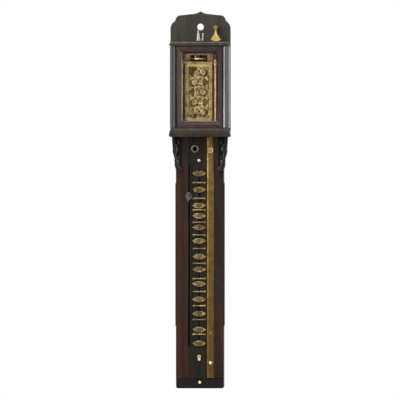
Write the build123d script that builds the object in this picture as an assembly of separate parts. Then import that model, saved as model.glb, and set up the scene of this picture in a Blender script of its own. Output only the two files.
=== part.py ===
from build123d import *
import math
import os

# A Japanese pillar clock that hangs on a wall, in millimetres. X is across, Z is up, and the clock
# faces -Y. Depths are measured forward from the wall, and heights up from the foot of the case.

# Case
trunk_half_width = 31.0
trunk_height = 327.0
side_wall = 4.5
back_thickness = 8.0
trunk_hollow_depth = 32.0
stile_thickness = 6.0
foot_corner = 2.6
stile_foot_height = 18.0
left_stile_edge = -14.75
right_stile_edge = 9.6
floor_thickness = 5.0
bottom_board_thickness = 2.0
batten_thickness = 0.9
batten_bottom_share = 0.2477
batten_top_share = 0.8165
batten_edge_set_back = 4.0
seat_thickness = 6.0
seat_rise = 3.0
seat_hole_half_width = 4.0

# Head of the backboard
head_half_width = 39.25
hole_above_cornice = 20.0
hanging_hole_radius = 4.3
crest_above_hole = 20.6
head_foot_rise = 7.0
head_foot_inset = 3.0
head_foot_drop = 7.0

# Shares of the head's half width, and of the crest's rise measured down from its tip.
crest_shares = {
    "sag": (0.12, 0.128),
    "flank": (0.29, 0.187),
    "brow": (0.66, 0.262),
    "ear top": (0.757, 0.315),
    "ear": (0.808, 0.432),
    "cusp": (0.853, 0.628),
    "shoulder top": (0.948, 0.805),
    "shoulder": (1.0, 1.117),
}

# Hood
hood_half_width = 38.5
hood_base_height = 11.7
room_over_cock = 9.1
cornice_height = 5.9
moulding_half_width = 39.8
moulding_stand = 2.5
post_width = 8.5
post_depth = 9.5
post_bead = 3.9
hood_panel_thickness = 4.0
fit_gap = 0.3
slide_gap = 0.2

# Insets of the mouldings as shares of how far they stand out, with shares of their height.
base_shares = [
    (0.45, 0.0),
    (0.0, 0.09),
    (0.0, 0.2),
    (0.3, 0.23),
    (0.3, 0.28),
    (0.0, 0.31),
    (0.0, 0.41),
    (0.42, 0.44),
    (0.42, 0.52),
    (0.3, 0.56),
    (0.55, 0.72),
    (1.0, 0.94),
    (1.0, 1.0),
]
cornice_shares = [
    (1.0, 0.0),
    (0.55, 0.12),
    (0.0, 0.3),
    (0.0, 0.45),
    (0.7, 0.62),
    (0.55, 0.9),
    (1.3, 1.0),
]

# Door
door_thickness = 7.0
door_set_back = 0.5
door_gap = 6.2
door_stile = 5.95
door_top_rail = 7.5
door_bottom_rail = 7.5
door_bevel = 3.2
door_pin_radius = 0.7
door_pin_length = 2.5
door_pin_inset = 0.9
glass_thickness = 1.5
glass_rebate = 1.5
glass_depth_in_door = 3.2
pin_clearance = 0.05

# Scale panel and its slits
panel_thickness = 5.0
panel_bottom = 14.3
pointer_slit_width = 1.85
pointer_slit_shares = (0.1691, 0.8884)
plaque_slit_x = -0.8
plaque_slit_width = 1.3
plaque_slit_shares = (0.159, 0.8716)
ridge_width = 2.6
ridge_height = 0.7
collar_x = -6.4
collar_drop = 15.6
collar_radius = 4.8
collar_bore_radius = 3.0
collar_stand = 0.8
collar_wall = 0.8
upper_stud_drop = 30.6
upper_stud_radius = 2.5
eye_share = 0.1269
eye_radius = 2.15
eye_hole_radius = 0.95
eye_bulb_drop = 3.6
eye_bulb_radius = 1.85
eye_thickness = 2.0
stud_shank_radius = 1.0

# Plaques. The two lists give where each plaque's middle is, as shares of the trunk's height.
plaque_half_width = 9.0
plaque_half_height = 3.6
plaque_thickness = 1.2
bar_end_half_height = 1.75
bar_waist_half_height = 0.9
bar_end_length = 3.2
plaque_neck_width = 0.9
hour_neck_height = 3.0
bar_neck_height = 1.6
plaque_catch_width = 6.0
plaque_catch_height = 2.8
bar_catch_height = 2.4
plaque_catch_thickness = 1.0
plaque_gap = 0.15
hour_shares = [
    0.8544, 0.7896, 0.7266, 0.6862, 0.6401, 0.5865, 0.5239,
    0.4734, 0.4156, 0.3538, 0.2972, 0.2336, 0.1792,
]
half_hour_shares = [
    0.8177, 0.7550, 0.7092, 0.6599, 0.6095, 0.5557, 0.4966,
    0.4361, 0.3844, 0.3284, 0.2731, 0.2150,
]

# Lock bar
lock_bar_left = 9.55
lock_bar_width = 8.7
lock_bar_thickness = 1.6
lock_bar_bevel = 0.8
lock_bar_bottom = 13.7
lock_bar_travel = 8.0
lock_tip_gap = 0.3
lock_stud_shares = [0.9483, 0.2208, 0.1015]
lock_stud_radii = [3.5, 1.7, 2.3]
lock_stud_rises = [0.5, 0.3, 2.0]
lock_stud_shank_radius = 1.1
lock_catch_radius = 2.6
lock_catch_thickness = 1.0
dome_share = 0.85

# Brackets under the hood
bracket_stand = 5.0
bracket_ground_thickness = 1.5
bracket_inner_edge = 24.0

# Shares of the bracket's stand outside the trunk, and of its height down from the hood.
bracket_height_share = 0.137
bracket_outer_shares = [
    (1.05, 0.0),
    (0.8, 0.38),
    (0.9, 0.42),
    (0.62, 0.52),
    (0.38, 0.62),
    (0.3, 0.84),
    (-0.1, 0.97),
]
bracket_inner_shares = [
    (-0.35, 0.0),
    (-0.1, 0.2),
    (0.3, 0.42),
    (-0.12, 0.47),
    (-0.05, 0.6),
    (0.3, 0.76),
    (0.62, 0.85),
    (1.4, 0.97),
]

# Drawer
drawer_foot_gap = 0.4
drawer_front_height = 12.2
drawer_side_gap = 0.5
drawer_back_gap = 2.0
drawer_wall = 2.0
drawer_corner = 2.6
drawer_knob_share = 0.62
drawer_knob_radius = 2.2
drawer_knob_stand = 4.5
drawer_knob_neck_radius = 1.2
drawer_knob_shank_radius = 1.0

# Key, its peg and the steel hanger legs
key_x = 20.2
key_above_cornice = 18.9
key_boss_radius = 2.9
key_boss_length = 8.0
key_thickness = 1.8
key_neck_half_width = 1.1
key_neck_drop = 5.0
key_fan_half_width = 7.0
key_fan_tip_drop = 15.2
key_fan_drop = 18.0
key_socket_half_width = 1.3
key_stand = 1.0
flare_share = 0.27
peg_radius = 1.1
peg_head_radius = 1.9
peg_head_thickness = 1.0
leg_thickness = 1.2
leg_top_drop = 4.6
leg_bottom_drop = 18.1

# Each leg's upper end below the hole, and its two edges at top and foot, as shares of the
# hanging hole's radius.
leg_shares = [
    (0.0, (-0.85, -0.5), (-1.1, 0.05)),
    (0.9, (0.62, 0.95), (0.42, 0.95)),
]

# Movement, whose own middle stands a little to the left of the case's
movement_x = -1.3
plate_half_width = 23.8
movement_back = 9.0
movement_front = 46.0
plate_thickness = 2.5
movement_foot = 4.0
frame_height = 79.7
pillar_x = 21.6
pillar_radius = 1.37
pillar_ring_radius = 2.0
pillar_ring_height = 2.0
pillar_tenon_radius = 1.0
pillar_cap_height = 2.4
pillar_inset = 2.2
front_plate_half_width = 17.3
front_plate_thickness = 1.4
front_plate_border = 4.3
front_window_rise = 11.7
front_window_drop = 4.3
bar_half_width = 4.0
bar_thickness = 1.5
front_bar_depth = 41.0
rear_bar_depth = 13.0
potence_depth = 24.0
arbor_radius = 0.8
arbor_clearance = 0.05
bearing_pad_radius = 3.0

# Scrollwork in the front plate's window
scroll_volutes = 5
scroll_radius = 7.7
scroll_stem = 1.0
volute_shares = (0.76, 0.5)
volute_sweep = 165
flower_petals = 6
petal_share = 0.36
flower_eye_share = 0.6
leaf_share = 0.56
leaf_sweep = 28
leaf_leans = (-165, -130, -92, -50, 50, 92, 130, 165)
outer_leaf_share = 0.74
inner_leaf_share = 0.5
inner_leaf_leans = (35, 130, 180, 250)

# Going train
great_x = -10.5
great_above_plate = 13.4
great_teeth = 40
pinion_leaves = 10
second_teeth = 40
great_module = 0.6
second_module = 0.5
train_lean = 62.0
great_wheel_depth = 31.0
second_wheel_depth = 19.0
wheel_thickness = 1.5
wheel_rim = 1.6
wheel_spoke = 1.5
wheel_hub = 2.4
pinion_length = 3.5
barrel_radius = 8.0
barrel_width = 7.0
barrel_gap = 0.6
barrel_flange_rise = 0.9
barrel_flange = 0.7
great_arbor_radius = 1.1
square_half_width = 1.1
square_length = 2.6
square_boss_radius = 4.6
square_boss_thickness = 0.8
crown_radius = 8.5
crown_rim = 0.9
crown_height = 6.5
crown_teeth = 15
crown_tooth_height = 2.6
crown_web = 1.5
addendum_share = 0.75
dedendum_share = 1.15
tooth_share = 0.36
tip_share = 0.16
root_share = 0.46
square_share = 0.7
crown_tooth_share = 0.45
crown_gap_share = 0.4
wheel_spokes = 4

# Verge and balance
verge_set_back = 4.5
verge_radius = 0.7
verge_foot_drop = 12.0
pallet_reach = 2.0
pallet_height = 2.4
pallet_thickness = 0.5
pallet_gap = 0.4
pallet_spread = 50.0
verge_lug_thickness = 2.0
verge_lug_half_width = 2.3
balance_radius = 10.5
balance_rim = 1.9
balance_thickness = 2.0
balance_above_plate = 2.9
balance_hub_radius = 1.8
balance_spoke = 1.2
cock_leg_inner = 11.2
cock_leg_outer = 18.4
cock_foot_width = 2.0
cock_foot_height = 1.4
cock_height = 8.8
cock_thickness = 2.0
cock_half_depth = 3.5
balance_arms = 3

# Weight, pointer and line
weight_side_gap = 3.15
weight_thickness = 20.0
weight_front = 38.5
weight_above_pointer = 44.0
weight_below_pointer = 12.0
weight_corner = 4.0
weight_hook_radius = 1.6
weight_hook_height = 4.0
pointer_share = 0.7651
pointer_half_width = 4.15
pointer_half_height = 5.0
pointer_thickness = 1.2
pointer_stand = 1.7
pointer_stem_width = 1.2
pointer_stem_height = 2.6
pointer_tail_drop = 5.4
pointer_tail_lean = 1.3
pointer_tail_half_width = 1.2
pointer_tail_half_height = 2.4
line_radius = 0.45
cut = 1.0

# Worked out from the sizes above
trunk_depth = back_thickness + trunk_hollow_depth + stile_thickness
batten_bottom = trunk_height * batten_bottom_share
batten_top = trunk_height * batten_top_share
pointer_slit_bottom, pointer_slit_top = [trunk_height * share for share in pointer_slit_shares]
plaque_slit_bottom, plaque_slit_top = [trunk_height * share for share in plaque_slit_shares]
collar_height = trunk_height - collar_drop
upper_stud_height = trunk_height - upper_stud_drop
eye_height = trunk_height * eye_share
hour_heights = [trunk_height * share for share in hour_shares]
half_hour_heights = [trunk_height * share for share in half_hour_shares]
lock_stud_heights = [trunk_height * share for share in lock_stud_shares]
pointer_height = trunk_height * pointer_share
stile_back = trunk_depth - stile_thickness
inner_half_width = trunk_half_width - side_wall
drawer_front_half_width = trunk_half_width - drawer_side_gap
seat_bottom = trunk_height + seat_rise
seat_top = seat_bottom + seat_thickness
head_bottom = trunk_height - head_foot_drop
hood_floor = trunk_height + hood_base_height
plate_bottom = seat_top + movement_foot
plate_top = plate_bottom + plate_thickness
top_plate_bottom = plate_top + frame_height
front_window_bottom = plate_bottom + front_window_rise
top_plate_top = top_plate_bottom + plate_thickness
cock_bottom = top_plate_top + cock_height
cornice_bottom = cock_bottom + cock_thickness + room_over_cock
cornice_top = cornice_bottom + cornice_height
hole_height = cornice_top + hole_above_cornice
pointer_slit_right = left_stile_edge + pointer_slit_width
pointer_x = left_stile_edge + pointer_slit_width / 2
key_height = cornice_top + key_above_cornice
great_height = plate_top + great_above_plate
great_radius = great_module * great_teeth / 2
great_distance = great_module * (great_teeth + pinion_leaves) / 2
second_x = great_x + great_distance * math.cos(math.radians(train_lean))
second_height = great_height + great_distance * math.sin(math.radians(train_lean))
crown_distance = second_module * (second_teeth + pinion_leaves) / 2
crown_above_second = math.sqrt(crown_distance**2 - second_x**2)
crown_height_in_frame = second_height + crown_above_second
line_in_movement = great_x + barrel_radius + line_radius
line_x = movement_x + line_in_movement
weight_half_width = inner_half_width - abs(line_x) - weight_side_gap
barrel_depth = great_wheel_depth - barrel_gap - barrel_width
line_depth = barrel_depth + barrel_width / 2
balance_bottom = top_plate_top + balance_above_plate
square_front = movement_front + front_plate_thickness + square_boss_thickness + square_length
door_back_depth = square_front + door_gap
hood_depth = door_back_depth + door_thickness + door_set_back
moulding_depth = hood_depth + moulding_stand
post_inner = hood_half_width - post_width
door_half_width = post_inner - fit_gap
door_bottom = hood_floor + fit_gap
door_top = cornice_bottom - fit_gap
opening_half_width = door_half_width - door_stile
verge_depth = front_bar_depth - verge_set_back
crown_tip_depth = verge_depth - pallet_reach - pallet_gap
crown_back_depth = crown_tip_depth - crown_height
weight_top = pointer_height + weight_above_pointer
weight_bottom = pointer_height - weight_below_pointer
hood_back_depth = back_thickness + fit_gap
lock_x = lock_bar_left + lock_bar_width / 2


def block(x, depth, z):
    """A box between two widths, two depths and two heights."""
    size = (x[1] - x[0], depth[1] - depth[0], z[1] - z[0])
    middle = ((x[0] + x[1]) / 2, -(depth[0] + depth[1]) / 2, (z[0] + z[1]) / 2)
    return Pos(*middle) * Box(*size)


def prism(face, depth):
    """A front view, drawn in X and Z, made solid between two depths."""
    sketch = Plane.XZ.offset(depth[0]) * face
    return extrude(sketch, depth[1] - depth[0])


def rod(x, z, radius, depth):
    """A cylinder that runs forward from the wall."""
    return prism(Pos(x, z) * Circle(radius), depth)


def post(x, depth, radius, z):
    """An upright cylinder."""
    return Pos(x, -depth, (z[0] + z[1]) / 2) * Cylinder(radius, z[1] - z[0])


def turned(x, depth, profile):
    """An upright turned piece from pairs of radius and height."""
    points = [(0, profile[0][1])] + profile + [(0, profile[-1][1])]
    face = Plane.XZ * make_face(Polyline(*points, close=True))
    return Pos(x, -depth, 0) * revolve(face, Axis.Z)


def mirrored(shape):
    """The same piece on the other side of the clock's middle."""
    return mirror(shape, Plane.YZ)


def pair(shape):
    return [shape, mirrored(shape)]


def save(name, *shapes):
    """Move the pieces to the hanging hole's frame and write them as one node."""
    solids = [solid for shape in shapes for solid in shape.solids()]
    down = Pos(0, 0, -hole_height)
    placed = [down * solid for solid in solids]
    export_step(placed[0] if len(placed) == 1 else Compound(children=placed), f"parts/{name}.step")


def save_in_movement(name, *shapes):
    """Write a node that is drawn about the movement's own middle."""
    save(name, *[Pos(movement_x, 0, 0) * shape for shape in shapes])


# Case


def crest_outline():
    """The right half of the head board's outline, from the tip of the crest to its foot."""
    w = head_half_width
    top = hole_height + crest_above_hole
    tip = (0, top)
    place = {
        name: (w * across, top - crest_above_hole * down)
        for name, (across, down) in crest_shares.items()
    }
    foot = [
        (w, trunk_height + head_foot_rise),
        (w - head_foot_inset, trunk_height),
        (trunk_half_width, head_bottom),
        (0, head_bottom),
    ]
    return [
        ThreePointArc(tip, place["sag"], place["flank"]),
        Line(place["flank"], place["brow"]),
        ThreePointArc(place["brow"], place["ear top"], place["ear"]),
        Line(place["ear"], place["cusp"]),
        ThreePointArc(place["cusp"], place["shoulder top"], place["shoulder"]),
        Polyline(place["shoulder"], *foot, tip),
    ]


def make_case():
    half = prism(make_face(crest_outline()), (0, back_thickness))
    board = half + mirrored(half)
    board -= rod(0, hole_height, hanging_hole_radius, (-cut, back_thickness + cut))
    board -= rod(key_x, key_height, peg_radius, (back_thickness / 2, back_thickness + cut))
    trunk_back = block((-trunk_half_width, trunk_half_width), (0, back_thickness), (0, head_bottom))
    trunk_back = fillet(trunk_back.edges().filter_by(Axis.Y).group_by(Axis.Z)[0], foot_corner)
    save("backboard", board, trunk_back)

    side = block(
        (inner_half_width, trunk_half_width),
        (back_thickness, stile_back),
        (0, seat_bottom),
    )
    outer_foot = side.edges().filter_by(Axis.Y).group_by(Axis.Z)[0].sort_by(Axis.X)[-1]
    side = fillet(outer_foot, foot_corner)
    save("trunk_sides", *pair(side))

    batten = block(
        (trunk_half_width, trunk_half_width + batten_thickness),
        (back_thickness + batten_edge_set_back, trunk_depth - batten_edge_set_back),
        (batten_bottom, batten_top),
    )
    save("side_battens", *pair(batten))

    left = block(
        (-trunk_half_width, left_stile_edge),
        (stile_back, trunk_depth),
        (stile_foot_height, trunk_height),
    )
    right = block(
        (right_stile_edge, trunk_half_width),
        (stile_back, trunk_depth),
        (stile_foot_height, trunk_height),
    )
    for height in lock_stud_heights:
        right -= lock_slot(height)
    save("front_stiles", left, right)

    floor_bottom = stile_foot_height - floor_thickness
    floor = block(
        (-inner_half_width, inner_half_width),
        (back_thickness, stile_back),
        (floor_bottom, stile_foot_height),
    )
    rail = block(
        (-trunk_half_width, trunk_half_width),
        (stile_back, trunk_depth),
        (floor_bottom, stile_foot_height),
    )
    notch = block(
        (left_stile_edge, right_stile_edge),
        (trunk_depth - panel_thickness, trunk_depth + cut),
        (panel_bottom, stile_foot_height + cut),
    )
    board_under = block(
        (-inner_half_width, inner_half_width),
        (back_thickness, stile_back),
        (0, bottom_board_thickness),
    )
    save("trunk_floors", floor + rail - notch, board_under)

    seat = block(
        (-trunk_half_width, trunk_half_width),
        (back_thickness, trunk_depth),
        (seat_bottom, seat_top),
    )
    seat -= post(
        line_x, line_depth, seat_hole_half_width, (seat_bottom - cut, seat_top + cut)
    )
    save("seatboard", seat)


def lock_slot(height):
    """The slot behind one of the lock bar's studs, as long as the bar's travel."""
    radius = lock_stud_shank_radius + fit_gap
    low = Pos(lock_x, height) * Circle(radius)
    high = Pos(lock_x, height + lock_bar_travel) * Circle(radius)
    middle = Pos(lock_x, height + lock_bar_travel / 2) * Rectangle(2 * radius, lock_bar_travel)
    return prism(low + high + middle, (stile_back - cut, trunk_depth + cut))


def make_brackets():
    edge = trunk_half_width
    top = trunk_height - slide_gap
    height = trunk_height * bracket_height_share
    outer = [(edge + bracket_stand * x, top - height * z) for x, z in bracket_outer_shares]
    inner = (bracket_inner_edge, top)
    foot = (bracket_inner_edge, top - height)
    outline = make_face(
        [
            Line(outer[0], outer[1]),
            Line(outer[1], outer[2]),
            ThreePointArc(outer[2], outer[3], outer[4]),
            Line(outer[4], outer[5]),
            Line(outer[5], outer[6]),
            Polyline(outer[6], foot, inner, outer[0]),
        ]
    )
    front = trunk_depth + bracket_stand
    solid = prism(outline, (back_thickness, front))
    solid -= block((0, edge), (0, trunk_depth), (0, trunk_height))
    face = trunk_depth + bracket_ground_thickness
    border = [(edge - bracket_stand * x, top - height * z) for x, z in bracket_inner_shares]
    ground = make_face(
        [
            Polyline((inner[0], top), border[0], border[1], border[2]),
            Line(border[2], border[3]),
            ThreePointArc(border[3], border[4], border[5]),
            ThreePointArc(border[5], border[6], border[7]),
            Line(border[7], (inner[0], top)),
        ]
    )
    solid -= prism(ground, (face, front + cut))
    save("brackets", *pair(solid))


def make_panel():
    left = block(
        (left_stile_edge, right_stile_edge),
        (trunk_depth - panel_thickness, trunk_depth),
        (panel_bottom, trunk_height),
    )
    ridge = block(
        (pointer_slit_right, pointer_slit_right + ridge_width),
        (trunk_depth - cut, trunk_depth + ridge_height),
        (pointer_slit_bottom, pointer_slit_top),
    )
    panel = left + ridge
    slit_depth = (trunk_depth - panel_thickness - cut, trunk_depth + ridge_height + cut)
    panel -= block(
        (left_stile_edge - cut, pointer_slit_right),
        slit_depth,
        (pointer_slit_bottom, pointer_slit_top),
    )
    panel -= block(
        (plaque_slit_x - plaque_slit_width / 2, plaque_slit_x + plaque_slit_width / 2),
        slit_depth,
        (plaque_slit_bottom, plaque_slit_top),
    )
    panel -= rod(collar_x, collar_height, collar_bore_radius + collar_wall, slit_depth)
    for height in (upper_stud_height, eye_height - eye_bulb_drop):
        panel -= rod(plaque_slit_x, height, stud_shank_radius, slit_depth)
    save("scale_panel", panel)

    back = trunk_depth - panel_thickness
    tube = rod(collar_x, collar_height, collar_bore_radius + collar_wall, (back, trunk_depth))
    flange = rod(collar_x, collar_height, collar_radius, (trunk_depth, trunk_depth + collar_stand))
    bore = rod(collar_x, collar_height, collar_bore_radius, slit_depth)
    save("winding_collar", tube + flange - bore)

    knob = rod(plaque_slit_x, upper_stud_height, stud_shank_radius, (back, trunk_depth + cut))
    dome = Pos(plaque_slit_x, -trunk_depth, upper_stud_height) * Sphere(upper_stud_radius)
    dome -= block(
        (-trunk_half_width, trunk_half_width), (0, trunk_depth), (0, hole_height)
    )
    bulb_height = eye_height - eye_bulb_drop
    shank = rod(plaque_slit_x, bulb_height, stud_shank_radius, (back, trunk_depth + cut))
    eye_face = Pos(plaque_slit_x, eye_height) * Circle(eye_radius)
    eye_face += Pos(plaque_slit_x, bulb_height) * Circle(eye_bulb_radius)
    eye_face -= Pos(plaque_slit_x, eye_height) * Circle(eye_hole_radius)
    eye = prism(eye_face, (trunk_depth, trunk_depth + eye_thickness)) + shank
    save("panel_studs", knob + dome, eye)


def make_fittings():
    depth = back_thickness + key_stand + key_boss_length
    peg = rod(key_x, key_height, peg_radius, (back_thickness / 2, depth + fit_gap))
    head = rod(
        key_x,
        key_height,
        peg_head_radius,
        (depth + fit_gap, depth + fit_gap + peg_head_thickness),
    )
    save("key_peg", peg + head)

    legs = []
    for side, top_share, foot_share in leg_shares:
        r = hanging_hole_radius
        points = [
            (r * top_share[0], hole_height - leg_top_drop - side * r),
            (r * top_share[1], hole_height - leg_top_drop - side * r),
            (r * foot_share[1], hole_height - leg_bottom_drop),
            (r * foot_share[0], hole_height - leg_bottom_drop),
        ]
        face = make_face(Polyline(*points, close=True))
        legs.append(prism(face, (back_thickness, back_thickness + leg_thickness)))
    save("hanger_legs", *legs)


# Hood


def mitred_frame(bottom, top, outer_half, outer_depth, back_depth, steps):
    """A solid block whose front and side edges carry a moulding, built up in thin layers."""
    solid = None
    for low, high in zip(steps, steps[1:]):
        z = (bottom + (top - bottom) * low[1], bottom + (top - bottom) * high[1])
        lower = layer_face(low[0], outer_half, outer_depth, back_depth, z[0])
        upper = layer_face(high[0], outer_half, outer_depth, back_depth, z[1])
        slab = loft([lower, upper], ruled=True)
        solid = slab if solid is None else solid + slab
    return solid


def layer_face(inset, outer_half, outer_depth, back_depth, z):
    half = outer_half - inset
    front = outer_depth - inset
    return Pos(0, -(front + back_depth) / 2, z) * Rectangle(2 * half, front - back_depth)


def make_hood():
    base_steps = [(moulding_stand * x, z) for x, z in base_shares]
    base = mitred_frame(
        trunk_height, hood_floor, moulding_half_width, moulding_depth, hood_back_depth, base_steps
    )
    base -= block(
        (-trunk_half_width - fit_gap, trunk_half_width + fit_gap),
        (0, trunk_depth + fit_gap),
        (0, hood_floor + cut),
    )
    tip = trunk_depth + lock_bar_thickness + lock_bar_bevel
    base -= block(
        (lock_bar_left - fit_gap, lock_bar_left + lock_bar_width + fit_gap),
        (trunk_depth, tip),
        (trunk_height - cut, trunk_height + lock_bar_travel + fit_gap),
    )
    pin_x = door_half_width - door_pin_inset
    pin_depth = hood_depth - door_set_back - door_pin_inset
    pin_hole = door_pin_radius + pin_clearance
    base -= post(-pin_x, pin_depth, pin_hole, (hood_floor - door_pin_length, top_plate_top))
    save("hood_base", base)

    cornice_steps = [(moulding_stand * x, z) for x, z in cornice_shares]
    cornice = mitred_frame(
        cornice_bottom, cornice_top, moulding_half_width, moulding_depth, hood_back_depth, cornice_steps
    )
    cornice -= post(-pin_x, pin_depth, pin_hole, (top_plate_top, cornice_bottom + door_pin_length))
    save("hood_cornice", cornice)

    panel = block(
        (hood_half_width - hood_panel_thickness, hood_half_width),
        (hood_back_depth, hood_depth - post_depth),
        (hood_floor, cornice_bottom),
    )
    front = block(
        (post_inner, hood_half_width),
        (hood_depth - post_depth, hood_depth),
        (hood_floor, cornice_bottom),
    )
    edges = front.edges().filter_by(Axis.Z).group_by(Axis.Y)[0]
    front = fillet(edges, post_bead)
    save("hood_sides", *pair(panel + front))


def make_door():
    half = door_half_width
    front_depth = hood_depth - door_set_back
    frame = block((-half, half), (door_back_depth, front_depth), (door_bottom, door_top))
    corner = frame.edges().filter_by(Axis.Z).group_by(Axis.Y)[0].sort_by(Axis.X)[0]
    frame = fillet(corner, door_pin_inset)
    opening = (door_bottom + door_bottom_rail, door_top - door_top_rail)
    middle = (opening[0] + opening[1]) / 2
    height = opening[1] - opening[0]
    frame -= block((-opening_half_width, opening_half_width), (0, front_depth + cut), opening)
    glass_half = opening_half_width + glass_rebate
    glass_depth = (door_back_depth, door_back_depth + glass_depth_in_door)
    frame -= block(
        (-glass_half, glass_half),
        (door_back_depth - cut, glass_depth[1]),
        (opening[0] - glass_rebate, opening[1] + glass_rebate),
    )
    flare = loft(
        [
            Plane.XZ.offset(front_depth - door_bevel)
            * Pos(0, middle)
            * Rectangle(2 * opening_half_width, height),
            Plane.XZ.offset(front_depth)
            * Pos(0, middle)
            * Rectangle(2 * (opening_half_width + door_bevel), height + 2 * door_bevel),
        ]
    )
    frame -= flare
    pin_x = half - door_pin_inset
    pin_depth = front_depth - door_pin_inset
    for z in (
        (hood_floor - door_pin_length + fit_gap, door_bottom + cut),
        (door_top - cut, cornice_bottom + door_pin_length - fit_gap),
    ):
        frame += post(-pin_x, pin_depth, door_pin_radius, z)
    save("door_frame", frame)

    glass = block(
        (-glass_half, glass_half),
        (glass_depth[1] - glass_thickness, glass_depth[1]),
        (opening[0] - glass_rebate, opening[1] + glass_rebate),
    )
    save("door_glass", glass)


# Drawer, lock bar and key


def make_drawer():
    z = (drawer_foot_gap, drawer_foot_gap + drawer_front_height)
    front_depth = (stile_back + fit_gap, trunk_depth)
    front = block((-drawer_front_half_width, drawer_front_half_width), front_depth, z)
    low_edges = front.edges().filter_by(Axis.Y).group_by(Axis.Z)[0]
    front = fillet(low_edges, drawer_corner)
    half = inner_half_width - fit_gap
    box_z = (bottom_board_thickness + slide_gap, z[1] - fit_gap)
    box_depth = (back_thickness + drawer_back_gap, stile_back + fit_gap)
    box = block((-half, half), box_depth, box_z)
    box -= block(
        (-half + drawer_wall, half - drawer_wall),
        (box_depth[0] + drawer_wall, box_depth[1]),
        (box_z[0] + drawer_wall, box_z[1] + cut),
    )
    middle = z[0] + drawer_front_height * drawer_knob_share
    bore = rod(0, middle, drawer_knob_shank_radius, (0, trunk_depth + cut))
    save("drawer", front + box - bore)

    shank = rod(0, middle, drawer_knob_shank_radius, front_depth)
    neck = rod(
        0, middle, drawer_knob_neck_radius, (trunk_depth, trunk_depth + drawer_knob_stand / 2)
    )
    ball_depth = trunk_depth + drawer_knob_stand - drawer_knob_radius
    ball = Pos(0, -ball_depth, middle) * Sphere(drawer_knob_radius)
    ball -= block((-half, half), (0, trunk_depth + drawer_knob_neck_radius), (0, hole_height))
    save("drawer_knob", shank + neck + ball)


def make_lock_bar():
    top = trunk_height - lock_tip_gap
    x = (lock_bar_left, lock_bar_left + lock_bar_width)
    bar = block(x, (trunk_depth, trunk_depth + lock_bar_thickness), (lock_bar_bottom, top))
    front_edges = bar.edges().group_by(Axis.Y)[0]
    upright = front_edges.filter_by(Axis.Z)
    bar = chamfer(upright, lock_bar_bevel, lock_bar_bevel * 2)
    for height in lock_stud_heights:
        bar -= rod(lock_x, height, lock_stud_shank_radius, (0, moulding_depth))
    save("lock_bar", bar)

    studs = []
    face = trunk_depth + lock_bar_thickness
    for height, radius, rise in zip(lock_stud_heights, lock_stud_radii, lock_stud_rises):
        shank = rod(lock_x, height, lock_stud_shank_radius, (stile_back - fit_gap, face))
        head = rod(lock_x, height, radius, (face, face + rise))
        if rise > lock_bar_thickness:
            dome_edge = head.edges().group_by(Axis.Y)[0]
            head = fillet(dome_edge, rise * dome_share)
        catch = rod(
            lock_x,
            height,
            lock_catch_radius,
            (stile_back - fit_gap - lock_catch_thickness, stile_back - fit_gap),
        )
        studs.append(shank + head + catch)
    save("lock_bar_studs", *studs)


def make_key():
    depth = (back_thickness + key_stand, back_thickness + key_stand + key_boss_length)
    boss = rod(key_x, key_height, key_boss_radius, depth)
    tip = (key_x + key_fan_half_width, key_height - key_fan_tip_drop)
    neck = (key_x + key_neck_half_width, key_height - key_neck_drop)
    bottom = (key_x, key_height - key_fan_drop)
    other_tip = (2 * key_x - tip[0], tip[1])
    other_neck = (2 * key_x - neck[0], neck[1])
    waist = (neck[0] + tip[0]) / 2 - key_fan_half_width * flare_share
    waist_height = (neck[1] + tip[1]) / 2
    fan = make_face(
        [
            Polyline(
                other_neck,
                (other_neck[0], key_height),
                (neck[0], key_height),
                neck,
            ),
            ThreePointArc(neck, (waist, waist_height), tip),
            ThreePointArc(tip, bottom, other_tip),
            ThreePointArc(other_tip, (2 * key_x - waist, waist_height), other_neck),
        ]
    )
    key = boss + prism(fan, (depth[1] - key_thickness, depth[1]))
    socket = 2 * key_socket_half_width
    key -= prism(Pos(key_x, key_height) * Rectangle(socket, socket), (0, depth[1] + cut))
    save("winding_key", key)


# Hour plaques and half-hour bars


def lens_face(height):
    left = (plaque_slit_x - plaque_half_width, height)
    right = (plaque_slit_x + plaque_half_width, height)
    return make_face(
        [
            ThreePointArc(left, (plaque_slit_x, height + plaque_half_height), right),
            ThreePointArc(right, (plaque_slit_x, height - plaque_half_height), left),
        ]
    )


def bar_face(height):
    width = 2 * plaque_half_width
    face = Pos(plaque_slit_x, height) * Rectangle(width - bar_end_length, 2 * bar_waist_half_height)
    for side in (-1, 1):
        x = plaque_slit_x + side * (plaque_half_width - bar_end_length / 2)
        face += Pos(x, height) * Ellipse(bar_end_length / 2, bar_end_half_height)
    return face


def make_plaque(name, face, height, neck_height, catch_height):
    front = (trunk_depth + plaque_gap, trunk_depth + plaque_gap + plaque_thickness)
    catch_depth = trunk_depth - panel_thickness - plaque_gap
    plate = prism(face, front)
    neck = prism(
        Pos(plaque_slit_x, height) * Rectangle(plaque_neck_width, neck_height),
        (catch_depth - plaque_catch_thickness, front[1]),
    )
    catch = prism(
        Pos(plaque_slit_x, height) * Rectangle(plaque_catch_width, catch_height),
        (catch_depth - plaque_catch_thickness, catch_depth),
    )
    save(name, plate + neck + catch)


def make_plaques():
    for number, height in enumerate(hour_heights, 1):
        face = lens_face(height)
        make_plaque(f"hour_plaque_{number:02d}", face, height, hour_neck_height, plaque_catch_height)
    for number, height in enumerate(half_hour_heights, 1):
        face = bar_face(height)
        make_plaque(f"half_hour_bar_{number:02d}", face, height, bar_neck_height, bar_catch_height)


# Movement frame


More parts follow.
